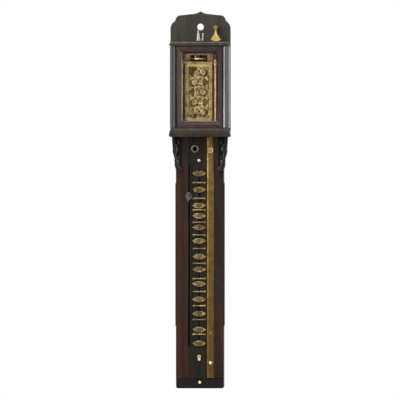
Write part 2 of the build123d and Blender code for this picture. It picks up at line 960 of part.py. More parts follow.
def make_frame():
    plates = []
    for z in ((plate_bottom, plate_top), (top_plate_bottom, top_plate_top)):
        plate = block((-plate_half_width, plate_half_width), (movement_back, movement_front), z)
        for x, depth in pillar_places():
            hole = pillar_tenon_radius + arbor_clearance
            plate -= post(x, depth, hole, (z[0] - cut, z[1] + cut))
        plates.append(plate)
    line_hole = (plate_bottom - cut, plate_top + cut)
    plates[0] -= post(line_in_movement, line_depth, seat_hole_half_width, line_hole)
    hole = verge_radius + arbor_clearance
    plates[1] -= post(0, verge_depth, hole, (top_plate_bottom - cut, top_plate_top + cut))
    save_in_movement("movement_plates", *plates)

    ring = pillar_ring_radius
    step = pillar_ring_height
    profile = [
        (ring, seat_top),
        (ring, plate_bottom),
        (pillar_tenon_radius, plate_bottom),
        (pillar_tenon_radius, plate_top),
        (ring, plate_top),
        (ring, plate_top + step),
        (pillar_radius, plate_top + 2 * step),
        (pillar_radius, top_plate_bottom - 2 * step),
        (ring, top_plate_bottom - step),
        (ring, top_plate_bottom),
        (pillar_tenon_radius, top_plate_bottom),
        (pillar_tenon_radius, top_plate_top),
        (ring, top_plate_top),
        (pillar_radius, top_plate_top + pillar_cap_height),
    ]
    save_in_movement("corner_pillars", *[turned(x, depth, profile) for x, depth in pillar_places()])


def pillar_places():
    depths = (movement_back + pillar_inset, movement_front - pillar_inset)
    return [(x, depth) for x in (-pillar_x, pillar_x) for depth in depths]


def arbor_hole(x, z, radius, depth):
    return rod(x, z, radius + arbor_clearance, (depth - cut, depth + bar_thickness + cut))


def make_bars():
    bars = []
    for depth in (front_bar_depth, rear_bar_depth):
        z = (plate_top, top_plate_bottom)
        span = (depth, depth + bar_thickness)
        lean = second_x / 2
        bar = block((lean - bar_half_width, lean + bar_half_width), span, z)
        pad = rod(great_x, great_height, bearing_pad_radius, span)
        arm = block(
            (great_x, lean),
            span,
            (great_height - bearing_pad_radius / 2, great_height + bearing_pad_radius / 2),
        )
        bar += pad + arm
        bar -= arbor_hole(great_x, great_height, great_arbor_radius, depth)
        bar -= arbor_hole(second_x, second_height, arbor_radius, depth)
        bars.append(bar)
    bars[1] -= arbor_hole(0, crown_height_in_frame, arbor_radius, rear_bar_depth)
    lug_top = crown_height_in_frame - verge_foot_drop
    lug = block(
        (-verge_lug_half_width, verge_lug_half_width),
        (verge_depth - bearing_pad_radius, front_bar_depth),
        (lug_top - verge_lug_thickness, lug_top),
    )
    lug_hole = (lug_top - verge_lug_thickness - cut, lug_top + cut)
    lug -= post(0, verge_depth, verge_radius + arbor_clearance, lug_hole)
    bars[0] += lug
    potence_span = (potence_depth, potence_depth + bar_thickness)
    potence = block(
        (-bearing_pad_radius, bearing_pad_radius),
        potence_span,
        (crown_height_in_frame, top_plate_bottom),
    )
    potence += rod(0, crown_height_in_frame, bearing_pad_radius, potence_span)
    potence -= arbor_hole(0, crown_height_in_frame, arbor_radius, potence_depth)
    save_in_movement("arbor_bars", *bars, potence)


def make_front_plate():
    depth = (movement_front, movement_front + front_plate_thickness)
    height = top_plate_top - plate_bottom
    middle = (top_plate_top + plate_bottom) / 2
    width = 2 * front_plate_half_width
    plate = Pos(0, middle) * Rectangle(width, height)
    window_half = front_plate_half_width - front_plate_border
    window = (front_window_bottom, top_plate_bottom - front_window_drop)
    window_height = window[1] - window[0]
    window_middle = (window[0] + window[1]) / 2
    plate -= Pos(0, window_middle) * Rectangle(2 * window_half, window_height)
    plate += scrollwork(window_half, window)
    plate += Pos(great_x, great_height) * Circle(square_boss_radius)
    solid = prism(plate, depth)
    solid += rod(
        great_x,
        great_height,
        square_boss_radius,
        (depth[0], depth[1] + square_boss_thickness),
    )
    hole_radius = great_arbor_radius + 2 * arbor_clearance
    hole = (depth[0] - cut, depth[1] + square_boss_thickness + cut)
    solid -= rod(great_x, great_height, hole_radius, hole)
    save_in_movement("front_plate", solid)


def ring_face(x, z, radius, width):
    return Pos(x, z) * (Circle(radius) - Circle(radius - width))


def flower_face(x, z, radius):
    """A rosette of overlapping round petals."""
    petal = radius * petal_share
    face = Pos(x, z) * Circle(radius * flower_eye_share)
    for number in range(flower_petals):
        angle = math.radians(360 * number / flower_petals)
        spot = (x + (radius - petal) * math.cos(angle), z + (radius - petal) * math.sin(angle))
        face += Pos(*spot) * Circle(petal)
    return face


def leaf_face(x, z, length, turn):
    """A pointed leaf that grows from its foot at x, z."""
    half = length / 2
    arcs = make_face(
        [
            ThreePointArc((0, 0), (half, half * leaf_share), (length, 0)),
            ThreePointArc((length, 0), (half, -half * leaf_share), (0, 0)),
        ]
    )
    return Pos(x, z) * Rot(0, 0, turn) * arcs


def volute_pieces(x, z, side, turn):
    """A round stem that curls inwards to a flower, with leaves inside it and around it."""
    radius = scroll_radius
    stem = scroll_stem
    pieces = [ring_face(x, z, radius, stem)]
    spot = (x, z)
    reach = radius
    angle = turn
    for share in volute_shares:
        a = math.radians(angle)
        step = reach - radius * share
        spot = (spot[0] + step * math.cos(a), spot[1] + step * math.sin(a))
        reach = radius * share
        arc = CenterArc(spot, reach - stem / 2, angle, side * volute_sweep)
        pieces.append(trace(arc, stem))
        angle += side * volute_sweep
    pieces.append(flower_face(*spot, reach - stem / 2))
    for lean in leaf_leans:
        a = math.radians(turn + lean)
        foot = (x + (radius - stem) * math.cos(a), z + (radius - stem) * math.sin(a))
        bend = math.copysign(leaf_sweep, lean)
        pieces.append(leaf_face(*foot, radius * outer_leaf_share, turn + lean + bend))
    for lean in inner_leaf_leans:
        a = math.radians(turn + side * lean)
        foot = (x + (radius - stem / 2) * math.cos(a), z + (radius - stem / 2) * math.sin(a))
        inward = turn + side * lean + 180 - side * leaf_sweep
        pieces.append(leaf_face(*foot, radius * inner_leaf_share, inward))
    return pieces


def scrollwork(half, window):
    """A climbing vine: curled stems left and right in turn, between leaves."""
    height = window[1] - window[0]
    rise = (height - 2 * scroll_radius + scroll_stem) / (scroll_volutes - 1)
    face = None
    for number in range(scroll_volutes):
        side = -1 if number % 2 else 1
        x = side * (half - scroll_radius + scroll_stem / 2)
        z = window[0] + scroll_radius - scroll_stem / 2 + number * rise
        for piece in volute_pieces(x, z, side, 90 - side * 90):
            face = piece if face is None else face + piece
    box = Pos(0, window[0] + height / 2) * Rectangle(2 * half + scroll_stem, height + scroll_stem)
    return face & box


# Wheels


def gear_face(teeth, module, turn):
    """A wheel's outline with straight-sided teeth and room for its mate; one tooth points to turn."""
    pitch_radius = module * teeth / 2
    tip = pitch_radius + module * addendum_share
    root = pitch_radius - module * dedendum_share
    pitch_angle = 360 / teeth
    corners = [
        (root, -root_share / 2),
        (pitch_radius, -tooth_share / 2),
        (tip, -tip_share / 2),
        (tip, tip_share / 2),
        (pitch_radius, tooth_share / 2),
        (root, root_share / 2),
    ]
    points = []
    for number in range(teeth):
        for radius, share in corners:
            angle = math.radians(turn + (number + share) * pitch_angle)
            points.append((radius * math.cos(angle), radius * math.sin(angle)))
    return make_face(Polyline(*points, close=True))


def spoked(face, outer_radius, turn):
    """Cut a wheel's face through between its rim, spokes and hub."""
    inner = outer_radius - wheel_rim
    window = Circle(inner) - Circle(wheel_hub)
    for number in range(wheel_spokes):
        arm = Pos(outer_radius / 2, 0) * Rectangle(outer_radius, wheel_spoke)
        window -= Rot(0, 0, turn + 360 * number / wheel_spokes) * arm
    return face - window


def make_great_wheel():
    root = great_radius - great_module * dedendum_share
    face = spoked(gear_face(great_teeth, great_module, train_lean), root, train_lean)
    spot = Pos(great_x, great_height)
    wheel = prism(spot * face, (great_wheel_depth, great_wheel_depth + wheel_thickness))
    wheel += rod(
        great_x, great_height, barrel_radius, (barrel_depth, great_wheel_depth)
    )
    wheel += rod(
        great_x,
        great_height,
        barrel_radius + barrel_flange_rise,
        (barrel_depth, barrel_depth + barrel_flange),
    )
    front = movement_front + front_plate_thickness + square_boss_thickness
    wheel += rod(great_x, great_height, great_arbor_radius, (rear_bar_depth, front))
    side = 2 * square_half_width * square_share
    square = Pos(great_x, great_height) * Rectangle(side, side)
    wheel += prism(square, (front - cut, front + square_length))
    save_in_movement("great_wheel", wheel)


def make_second_wheel():
    mesh = 180 + train_lean + 180 / pinion_leaves
    to_crown = math.degrees(math.atan2(crown_above_second, -second_x))
    spot = Pos(second_x, second_height)
    root = second_module * (second_teeth / 2 - dedendum_share)
    face = spoked(gear_face(second_teeth, second_module, to_crown), root, to_crown)
    wheel = prism(spot * face, (second_wheel_depth, second_wheel_depth + wheel_thickness))
    pinion_start = great_wheel_depth + (wheel_thickness - pinion_length) / 2
    pinion = spot * gear_face(pinion_leaves, great_module, mesh)
    wheel += prism(pinion, (pinion_start, pinion_start + pinion_length))
    arbor = (rear_bar_depth, front_bar_depth + bar_thickness)
    wheel += rod(second_x, second_height, arbor_radius, arbor)
    wheel += rod(
        second_x,
        second_height,
        wheel_hub / 2,
        (second_wheel_depth + wheel_thickness, pinion_start),
    )
    save_in_movement("second_wheel", wheel)


def make_crown_wheel():
    z = crown_height_in_frame
    rim = prism(
        Pos(0, z) * (Circle(crown_radius) - Circle(crown_radius - crown_rim)),
        (crown_back_depth, crown_tip_depth),
    )
    pitch = 2 * math.pi * crown_radius / crown_teeth
    root_depth = crown_tip_depth - crown_tooth_height
    cutter = make_face(
        Polyline(
            (-pitch * crown_tooth_share, -crown_tip_depth - cut),
            (pitch * crown_gap_share, -crown_tip_depth - cut),
            (pitch * crown_gap_share, -root_depth),
            close=True,
        )
    )
    wedge = extrude(Plane.XY * cutter, crown_radius + cut)
    for number in range(crown_teeth):
        rim -= Pos(0, 0, z) * Rot(0, 360 * number / crown_teeth, 0) * wedge
    hub_root = crown_radius - crown_rim / 2
    web_face = spoked(Circle(hub_root), hub_root + wheel_rim - crown_rim, 0)
    web = prism(Pos(0, z) * web_face, (crown_back_depth, crown_back_depth + crown_web))
    wheel = rim + web
    wheel += rod(0, z, arbor_radius, (rear_bar_depth, crown_back_depth + crown_web))
    mesh = 180 + math.degrees(math.atan2(crown_above_second, -second_x)) + 180 / pinion_leaves
    start = second_wheel_depth + (wheel_thickness - pinion_length) / 2
    pinion = Pos(0, z) * gear_face(pinion_leaves, second_module, mesh)
    wheel += prism(pinion, (start, start + pinion_length))
    save_in_movement("crown_wheel", wheel)


def make_balance():
    foot = crown_height_in_frame - verge_foot_drop - verge_lug_thickness
    top = cock_bottom + cock_thickness / 2
    verge = post(0, verge_depth, verge_radius, (foot, top))
    arm = crown_radius - crown_rim / 2
    for side in (-1, 1):
        z = crown_height_in_frame + side * arm
        pallet = Pos(0, pallet_reach / 2, 0) * Box(pallet_thickness, pallet_reach, pallet_height)
        verge += Pos(0, -verge_depth, z) * Rot(0, 0, side * pallet_spread) * pallet
    verge_z = (balance_bottom, balance_bottom + balance_thickness)
    save_in_movement("verge", verge)

    ring = Circle(balance_radius) - Circle(balance_radius - balance_rim)
    face = ring + Circle(balance_hub_radius)
    for number in range(balance_arms):
        arm_face = Pos(balance_radius / 2 - balance_rim / 4, 0) * Rectangle(
            balance_radius - balance_rim / 2, balance_spoke
        )
        face += Rot(0, 0, 90 + 360 * number / balance_arms) * arm_face
    face -= Circle(verge_radius)
    wheel = extrude(Pos(0, -verge_depth, verge_z[0]) * face, balance_thickness)
    save_in_movement("balance_wheel", wheel)


def make_cock():
    span = (verge_depth - cock_half_depth, verge_depth + cock_half_depth)
    top = cock_bottom + cock_thickness
    bridge = block((-cock_leg_outer, cock_leg_outer), span, (cock_bottom, top))
    foot_top = top_plate_top + cock_foot_height
    leg = block((cock_leg_inner, cock_leg_outer), span, (foot_top, cock_bottom))
    leg += block((cock_leg_outer - cock_foot_width, cock_leg_outer), span, (top_plate_top, foot_top))
    bridge += leg + mirrored(leg)
    bridge -= post(
        0,
        verge_depth,
        verge_radius + arbor_clearance,
        (cock_bottom - cut, cock_bottom + cock_thickness / 2 + arbor_clearance),
    )
    save_in_movement("balance_cock", bridge)


# Weight


def make_weight():
    back = weight_front - weight_thickness
    z = (weight_bottom, weight_top)
    x = (line_x - weight_half_width, line_x + weight_half_width)
    body = block(x, (back, weight_front), z)
    body = fillet(body.edges().filter_by(Axis.Y), weight_corner)
    hook_z = (weight_top - cut, weight_top + weight_hook_height)
    hook = post(line_x, line_depth, weight_hook_radius, hook_z)
    save("weight", body + hook)

    front = trunk_depth + pointer_stand
    disc = Pos(pointer_x, pointer_height) * Ellipse(pointer_half_width, pointer_half_height)
    tail = (pointer_x - pointer_tail_lean, pointer_height - pointer_tail_drop)
    disc += Pos(*tail) * Ellipse(pointer_tail_half_width, pointer_tail_half_height)
    plate = prism(disc, (front, front + pointer_thickness))
    stem = prism(
        Pos(pointer_x, pointer_height) * Rectangle(pointer_stem_width, pointer_stem_height),
        (weight_front, front),
    )
    save("pointer", plate + stem)

    foot = weight_top + weight_hook_height
    line = post(line_x, line_depth, line_radius, (foot, great_height))
    save("weight_line", line)


os.makedirs("parts", exist_ok=True)
make_case()
make_brackets()
make_panel()
make_fittings()
make_hood()
make_door()
make_drawer()
make_lock_bar()
make_key()
make_plaques()
make_frame()
make_bars()
make_front_plate()
make_great_wheel()
make_second_wheel()
make_crown_wheel()
make_balance()
make_cock()
make_weight()
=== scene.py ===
import math
import random

import bmesh
import bpy
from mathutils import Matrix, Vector

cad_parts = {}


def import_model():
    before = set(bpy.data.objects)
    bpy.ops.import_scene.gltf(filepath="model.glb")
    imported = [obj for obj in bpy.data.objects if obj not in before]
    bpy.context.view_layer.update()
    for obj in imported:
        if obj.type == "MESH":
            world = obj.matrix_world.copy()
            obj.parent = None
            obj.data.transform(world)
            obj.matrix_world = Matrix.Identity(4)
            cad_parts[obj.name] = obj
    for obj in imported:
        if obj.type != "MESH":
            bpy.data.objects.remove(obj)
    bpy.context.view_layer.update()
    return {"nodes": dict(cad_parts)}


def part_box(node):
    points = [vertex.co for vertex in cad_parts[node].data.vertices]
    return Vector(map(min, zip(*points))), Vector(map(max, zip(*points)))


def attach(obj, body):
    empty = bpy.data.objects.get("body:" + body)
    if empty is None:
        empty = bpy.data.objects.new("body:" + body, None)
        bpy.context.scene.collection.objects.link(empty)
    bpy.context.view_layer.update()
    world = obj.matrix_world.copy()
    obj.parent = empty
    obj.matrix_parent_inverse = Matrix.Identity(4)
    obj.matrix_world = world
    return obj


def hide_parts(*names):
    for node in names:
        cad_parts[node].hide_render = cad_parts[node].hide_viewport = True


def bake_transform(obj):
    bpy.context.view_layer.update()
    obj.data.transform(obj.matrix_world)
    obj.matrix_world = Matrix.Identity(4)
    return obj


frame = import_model()

# Places in metres, worked out from the CAD model, with the hanging hole's centre on the wall as origin
front_low, front_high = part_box("front_plate")
movement_x = (front_low[0] + front_high[0]) / 2
plate_face = front_low[1] + 0.0008
window_half = 0.013
window_low = front_low[2] + 0.0117
window_high = front_high[2] - 0.0068
panel_low, panel_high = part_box("scale_panel")
trunk_face = panel_low[1] + 0.0007
slit_top = panel_high[2] - 0.037
great_low, great_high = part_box("great_wheel")
great_place = ((great_low[0] + great_high[0]) / 2, (great_low[2] + great_high[2]) / 2)
top_stud_height = -0.161

# Where the rosewood's left edge fades, from none to full: outwards in x, and downwards in z
fade_inner, fade_outer = -0.021, -0.027
fade_top, fade_full = -0.16, -0.20


# Materials


def linear(value):
    """One screen value from 0 to 255 as a share of light."""
    if value <= 10:
        return value / 255 / 12.92
    return ((value / 255 + 0.055) / 1.055) ** 2.4


def srgb(r, g, b):
    """A colour given in screen values, as the shader wants it."""
    return (linear(r), linear(g), linear(b), 1.0)


class Shader:
    """A material's node tree with short calls for the nodes used here."""

    def __init__(self, name, **settings):
        self.material = bpy.data.materials.new(name)
        self.material.use_nodes = True
        self.tree = self.material.node_tree
        self.bsdf = self.tree.nodes["Principled BSDF"]
        for key, value in settings.items():
            self.bsdf.inputs[key.replace("_", " ")].default_value = value
        self.coords = self.tree.nodes.new("ShaderNodeTexCoord").outputs["Object"]

    def link(self, output, name):
        self.tree.links.new(output, self.bsdf.inputs[name])

    def stretch(self, scale, turn=(0, 0, 0)):
        node = self.tree.nodes.new("ShaderNodeMapping")
        node.inputs["Scale"].default_value = scale
        node.inputs["Rotation"].default_value = turn
        self.tree.links.new(self.coords, node.inputs["Vector"])
        return node.outputs["Vector"]

    def noise(self, scale, detail=4.0, rough=0.55, distort=0.0, vector=None):
        node = self.tree.nodes.new("ShaderNodeTexNoise")
        node.inputs["Scale"].default_value = scale
        node.inputs["Detail"].default_value = detail
        node.inputs["Roughness"].default_value = rough
        node.inputs["Distortion"].default_value = distort
        self.tree.links.new(vector or self.coords, node.inputs["Vector"])
        return node.outputs["Fac"]

    def ramp(self, value, *stops):
        node = self.tree.nodes.new("ShaderNodeValToRGB")
        self.tree.links.new(value, node.inputs["Fac"])
        ramp = node.color_ramp
        while len(ramp.elements) < len(stops):
            ramp.elements.new(0.5)
        for element, (place, colour) in zip(ramp.elements, stops):
            element.position = place
            element.color = colour if isinstance(colour, tuple) else (colour, colour, colour, 1)
        return node.outputs["Color"]

    def mix(self, factor, a, b, blend="MIX"):
        node = self.tree.nodes.new("ShaderNodeMix")
        node.data_type = "RGBA"
        node.blend_type = blend
        for value, socket in ((factor, node.inputs[0]), (a, node.inputs[6]), (b, node.inputs[7])):
            if isinstance(value, bpy.types.NodeSocket):
                self.tree.links.new(value, socket)
            else:
                socket.default_value = value
        return node.outputs[2]

    def along(self, axis, low, high):
        """0 at one place on an axis of the object and 1 at another, with a straight run between."""
        split = self.tree.nodes.new("ShaderNodeSeparateXYZ")
        self.tree.links.new(self.coords, split.inputs["Vector"])
        node = self.tree.nodes.new("ShaderNodeMapRange")
        node.inputs["From Min"].default_value = low
        node.inputs["From Max"].default_value = high
        self.tree.links.new(split.outputs[axis], node.inputs["Value"])
        return node.outputs["Result"]

    def times(self, a, b):
        node = self.tree.nodes.new("ShaderNodeMath")
        node.operation = "MULTIPLY"
        self.tree.links.new(a, node.inputs[0])
        self.tree.links.new(b, node.inputs[1])
        return node.outputs[0]

    def bump(self, height, strength, distance):
        node = self.tree.nodes.new("ShaderNodeBump")
        node.inputs["Strength"].default_value = strength
        node.inputs["Distance"].default_value = distance
        self.tree.links.new(height, node.inputs["Height"])
        self.link(node.outputs["Normal"], "Normal")


def wood(
    name, dark, middle, light, patch, rough, turn=(0, 0, 0), patch_low=0.58, shine=0.2, relief=0.25,
    coat=0.0, faded=None, patch_scale=(45, 45, 11),
):
    """Close-grained polished wood: long streaks, fine pores and wandering patches of another tone."""
    s = Shader(name, Specular_IOR_Level=shine, Coat_Weight=coat, Coat_Roughness=0.16, Coat_IOR=1.45)
    streaks = s.noise(1.0, 6, 0.62, 0.6, s.stretch((150, 150, 7), turn))
    pores = s.noise(1.0, 3, 0.7, 0.0, s.stretch((1500, 1500, 45), turn))
    colour = s.ramp(streaks, (0.32, dark), (0.52, middle), (0.72, light))
    wandering = s.noise(1.0, 3, 0.5, 0.8, s.stretch(patch_scale, turn))
    patches = s.ramp(wandering, (patch_low, 0.0), (patch_low + 0.14, 1.0))
    colour = s.mix(patches, colour, patch)
    if faded:
        edge = s.times(s.along("X", fade_inner, fade_outer), s.along("Z", fade_top, fade_full))
        colour = s.mix(s.times(edge, s.ramp(streaks, (0.3, 0.35), (0.6, 1.0))), colour, faded)
    colour = s.mix(s.ramp(pores, (0.3, 0.55), (0.5, 0.0)), colour, dark)
    s.link(colour, "Base Color")
    s.link(s.ramp(s.noise(60, 4), (0.3, rough - 0.06), (0.7, rough + 0.1)), "Roughness")
    s.bump(s.mix(0.5, streaks, pores), relief, 0.00012)
    return s.material


def metal(name, base, dark, light, rough, grain=(400, 400, 400), strength=0.15, spots=0.62, tarnish_and_shade=None):
    """Aged metal: clouded tarnish, dark spots, faint tool marks along the grain, and where asked a tone
    blended in along the height: tarnish on a duller top, painted shade on a darker foot.
    """
    s = Shader(name, Metallic=1.0)
    clouds = s.noise(140, 5, 0.6, 0.4)
    colour = s.ramp(clouds, (0.3, dark), (0.5, base), (0.72, light))
    stain = s.ramp(s.noise(420, 3, 0.6), (spots, 0.0), (spots + 0.1, 0.7))
    colour = s.mix(stain, colour, dark)
    if tarnish_and_shade:
        place, full, tone = tarnish_and_shade
        colour = s.mix(s.along("Z", place, full), colour, tone)
    s.link(colour, "Base Color")
    marks = s.noise(1.0, 4, 0.6, 0.0, s.stretch(grain))
    s.link(s.ramp(clouds, (0.3, rough + 0.14), (0.7, rough - 0.06)), "Roughness")
    s.bump(marks, strength, 0.00008)
    return s.material


def clear_glass():
    """Window glass: clear, with a thin reflection that grows at a slant."""
    m = bpy.data.materials.new("window_glass")
    m.use_nodes = True
    tree = m.node_tree
    tree.nodes.clear()
    out = tree.nodes.new("ShaderNodeOutputMaterial")
    mix = tree.nodes.new("ShaderNodeMixShader")
    clear = tree.nodes.new("ShaderNodeBsdfTransparent")
    clear.inputs["Color"].default_value = (0.95, 0.97, 0.95, 1)
    gloss = tree.nodes.new("ShaderNodeBsdfGlossy")
    gloss.inputs["Roughness"].default_value = 0.03
    gloss.inputs["Color"].default_value = (0.9, 0.9, 1.0, 1)
    fresnel = tree.nodes.new("ShaderNodeFresnel")
    fresnel.inputs["IOR"].default_value = 1.18
    tree.links.new(fresnel.outputs[0], mix.inputs[0])
    tree.links.new(clear.outputs[0], mix.inputs[1])
    tree.links.new(gloss.outputs[0], mix.inputs[2])
    tree.links.new(mix.outputs[0], out.inputs["Surface"])
    return m


ebony = wood("dark_wood", srgb(38, 34, 30), srgb(50, 46, 41), srgb(60, 55, 48), srgb(54, 46, 44), 0.5)
grain_across = (0, 1.5708, 0)
base_wood = wood(
    "moulding_wood", srgb(30, 24, 20), srgb(50, 42, 34), srgb(68, 58, 46), srgb(54, 38, 32), 0.5,
    grain_across, shine=0.12,
)
# Pale wood for the cornice's top bead: painted highlight along its lit edge.
painted_highlight_edge = wood("painted_highlight_edge", srgb(70, 65, 50), srgb(104, 98, 80), srgb(136, 130, 108), srgb(90, 84, 68), 0.4)
# Pale wood for the bead on the base moulding: painted highlight on its top arris.
painted_highlight_base = wood("painted_highlight_base", srgb(62, 54, 48), srgb(98, 90, 82), srgb(126, 118, 108), srgb(84, 74, 66), 0.4)
drawer_black = wood(
    "drawer_wood", srgb(12, 11, 9), srgb(20, 18, 15), srgb(32, 29, 25), srgb(25, 23, 19), 0.5, shine=0.1,
)
panel_black = wood(
    "panel_black", srgb(14, 12, 10), srgb(27, 24, 20), srgb(40, 36, 30), srgb(34, 26, 22), 0.55, shine=0.1
)
lacquer = wood(
    "lacquered_wood", srgb(20, 18, 19), srgb(36, 33, 34), srgb(58, 54, 56), srgb(36, 31, 34), 0.3,
    shine=0.5, relief=0.02, coat=0.25,
)
# A pale copy of the lacquer for the right post's inner bead: painted highlight.
painted_highlight_lacquer = wood(
    "painted_highlight_lacquer", srgb(84, 80, 84), srgb(120, 116, 122), srgb(166, 162, 168), srgb(108, 102, 108), 0.28,
    shine=0.6, relief=0.02, coat=0.4,
)
rosewood = wood(
    "rosewood", srgb(20, 14, 12), srgb(40, 24, 18), srgb(70, 41, 27), srgb(40, 30, 26), 0.45,
    shine=0.1, patch_low=0.48, patch_scale=(24, 24, 13), faded=srgb(54, 34, 26),
)
door_wood = wood(
    "door_wood", srgb(24, 18, 18), srgb(44, 35, 34), srgb(64, 50, 47), srgb(60, 36, 28), 0.35,
    shine=0.2, patch_low=0.5, relief=0.04, coat=0.2,
)
# Pale wood for the door's inner edge on the left and at the foot: painted highlight.
painted_highlight_door = wood(
    "painted_highlight_door", srgb(96, 76, 70), srgb(134, 112, 104), srgb(166, 144, 136), srgb(118, 92, 82), 0.35,
)
pine = wood("seat_wood", srgb(86, 58, 34), srgb(120, 86, 52), srgb(146, 108, 70), srgb(96, 66, 42), 0.6)
lining = wood(
    "lining_wood", srgb(160, 120, 78), srgb(190, 150, 104), srgb(214, 176, 130), srgb(170, 130, 90), 0.7,
)
bracket_wood = wood(
    "bracket_wood", srgb(18, 17, 16), srgb(32, 30, 28), srgb(50, 47, 43), srgb(36, 32, 30), 0.5, shine=0.12,
)
# Pale grey wood for the brackets' rims and scrolls: painted highlight.
painted_highlight_carving = wood(
    "painted_highlight_wood", srgb(60, 58, 55), srgb(96, 93, 90), srgb(134, 131, 127), srgb(78, 74, 70), 0.35, shine=0.5,
)
# Near-black wood for painted shade: the brackets' sunk grounds, the base moulding's quirk and the gap beside
# the scale panel.
painted_shade_black = wood(
    "painted_shade_black", srgb(8, 8, 7), srgb(15, 14, 13), srgb(24, 23, 21), srgb(16, 15, 15), 0.6, shine=0.08,
)
brass = metal("aged_brass", srgb(140, 113, 58), srgb(92, 68, 32), srgb(176, 146, 84), 0.34)
bar_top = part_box("lock_bar")[1][2]
# The bar's brass darkens towards its foot: painted shade.
bar_brass = metal(
    "bar_brass", srgb(104, 86, 44), srgb(82, 64, 29), srgb(124, 105, 60), 0.42, (1600, 1600, 60), 0.2, 0.66,
    tarnish_and_shade=(bar_top, bar_top - 0.4, srgb(74, 55, 20)),
)
gilt = metal(
    "gilt_plaque", srgb(100, 82, 50), srgb(52, 40, 24), srgb(136, 115, 78), 0.45, strength=0.6, spots=0.5,
)
bar_gilt = metal("half_hour_gilt", srgb(80, 70, 46), srgb(46, 38, 24), srgb(112, 99, 70), 0.45, strength=0.5)
plaque_rim = metal("plaque_rim", srgb(134, 119, 84), srgb(74, 60, 38), srgb(178, 164, 126), 0.38, spots=0.54)
plate_brass = metal(
    "plate_brass", srgb(160, 132, 90), srgb(106, 80, 50), srgb(202, 176, 128), 0.36, strength=0.3, spots=0.6
)
# A brighter copy of the plate's brass for its vine, fillets, boss rings and bands: painted highlight.
painted_highlight_brass = metal("painted_highlight_brass", srgb(196, 166, 114), srgb(136, 106, 66), srgb(228, 204, 154), 0.3)
# A darker copy of the plate's brass: painted shade behind the piercings and in the boss grooves.
painted_shade_brass = metal(
    "painted_shade_brass", srgb(98, 73, 46), srgb(60, 43, 28), srgb(128, 100, 66), 0.6, strength=0.4,
)
cock_brass = metal("cock_brass", srgb(164, 124, 92), srgb(110, 80, 56), srgb(206, 170, 132), 0.45)
pillar_brass = metal("pillar_brass", srgb(232, 190, 136), srgb(180, 136, 84), srgb(246, 220, 180), 0.5)
engraved = metal("engraved", srgb(98, 78, 50), srgb(66, 50, 32), srgb(118, 97, 66), 0.6)
bright_brass = metal("bright_brass", srgb(196, 164, 100), srgb(140, 108, 56), srgb(232, 208, 150), 0.26)
stud_brass = metal("stud_brass", srgb(196, 178, 132), srgb(140, 118, 76), srgb(230, 218, 186), 0.3)
bar_studs_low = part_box("lock_bar_studs")[0][2]
bar_stud_brass = metal(
    "bar_stud_brass", srgb(204, 184, 136), srgb(150, 126, 80), srgb(236, 224, 190), 0.3,
    tarnish_and_shade=(bar_studs_low + 0.01, bar_studs_low + 0.02, srgb(128, 106, 56)),
)
key_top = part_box("winding_key")[1][2]
key_brass = metal(
    "key_brass", srgb(206, 174, 108), srgb(160, 128, 66), srgb(230, 204, 146), 0.36,
    tarnish_and_shade=(key_top - 0.0085, key_top - 0.0045, srgb(122, 104, 62)),
)
balance_brass = metal("balance_brass", srgb(236, 204, 140), srgb(190, 152, 90), srgb(248, 228, 180), 0.5)
# Near-white brass for the balance pin: painted glint.
painted_glint_brass = metal(
    "painted_glint_brass", srgb(255, 246, 212), srgb(246, 230, 186), srgb(255, 252, 236), 0.25, strength=0.05,
)
block_brass = metal("block_brass", srgb(104, 92, 64), srgb(62, 50, 34), srgb(140, 126, 94), 0.45)
ring_brass = metal(
    "ring_brass", srgb(196, 176, 118), srgb(160, 140, 88), srgb(220, 204, 150), 0.5, strength=0.2,
)
silver_steel = metal("bright_steel", srgb(180, 175, 170), srgb(120, 114, 106), srgb(216, 212, 208), 0.36)
collar_steel = metal("collar_steel", srgb(108, 103, 92), srgb(60, 56, 48), srgb(150, 146, 134), 0.36)
dark_steel = metal("dark_steel", srgb(96, 92, 88), srgb(52, 46, 42), srgb(134, 130, 126), 0.36)
iron = metal("browned_iron", srgb(86, 78, 74), srgb(52, 43, 40), srgb(116, 108, 103), 0.42, strength=0.35)
lead_brass = metal("weight_brass", srgb(44, 34, 22), srgb(26, 20, 13), srgb(62, 50, 32), 0.55)
glass = clear_glass()

finishes = {
    "backboard": ebony, "trunk_sides": rosewood, "side_battens": rosewood, "front_stiles": rosewood,
    "brackets": bracket_wood, "trunk_floors": rosewood, "seatboard": pine, "scale_panel": panel_black,
    "panel_studs": stud_brass, "winding_collar": collar_steel, "key_peg": brass,
    "hanger_legs": silver_steel, "movement_plates": brass, "corner_pillars": pillar_brass,
    "arbor_bars": brass, "front_plate": plate_brass, "balance_cock": cock_brass, "hood_base": base_wood,
    "hood_cornice": ebony, "hood_sides": lacquer, "door_frame": door_wood, "door_glass": glass,
    "drawer": drawer_black, "drawer_knob": stud_brass, "lock_bar": bar_brass,
    "lock_bar_studs": bar_stud_brass, "winding_key": key_brass, "great_wheel": brass,
    "second_wheel": brass, "crown_wheel": brass, "verge": dark_steel, "balance_wheel": balance_brass,
    "weight": lead_brass, "pointer": iron, "weight_line": iron,
}


def finish_for(name):
    """The material of a CAD node."""
    if name.startswith("half_hour"):
        return bar_gilt
    return gilt if name.startswith("hour_plaque") else finishes[name]


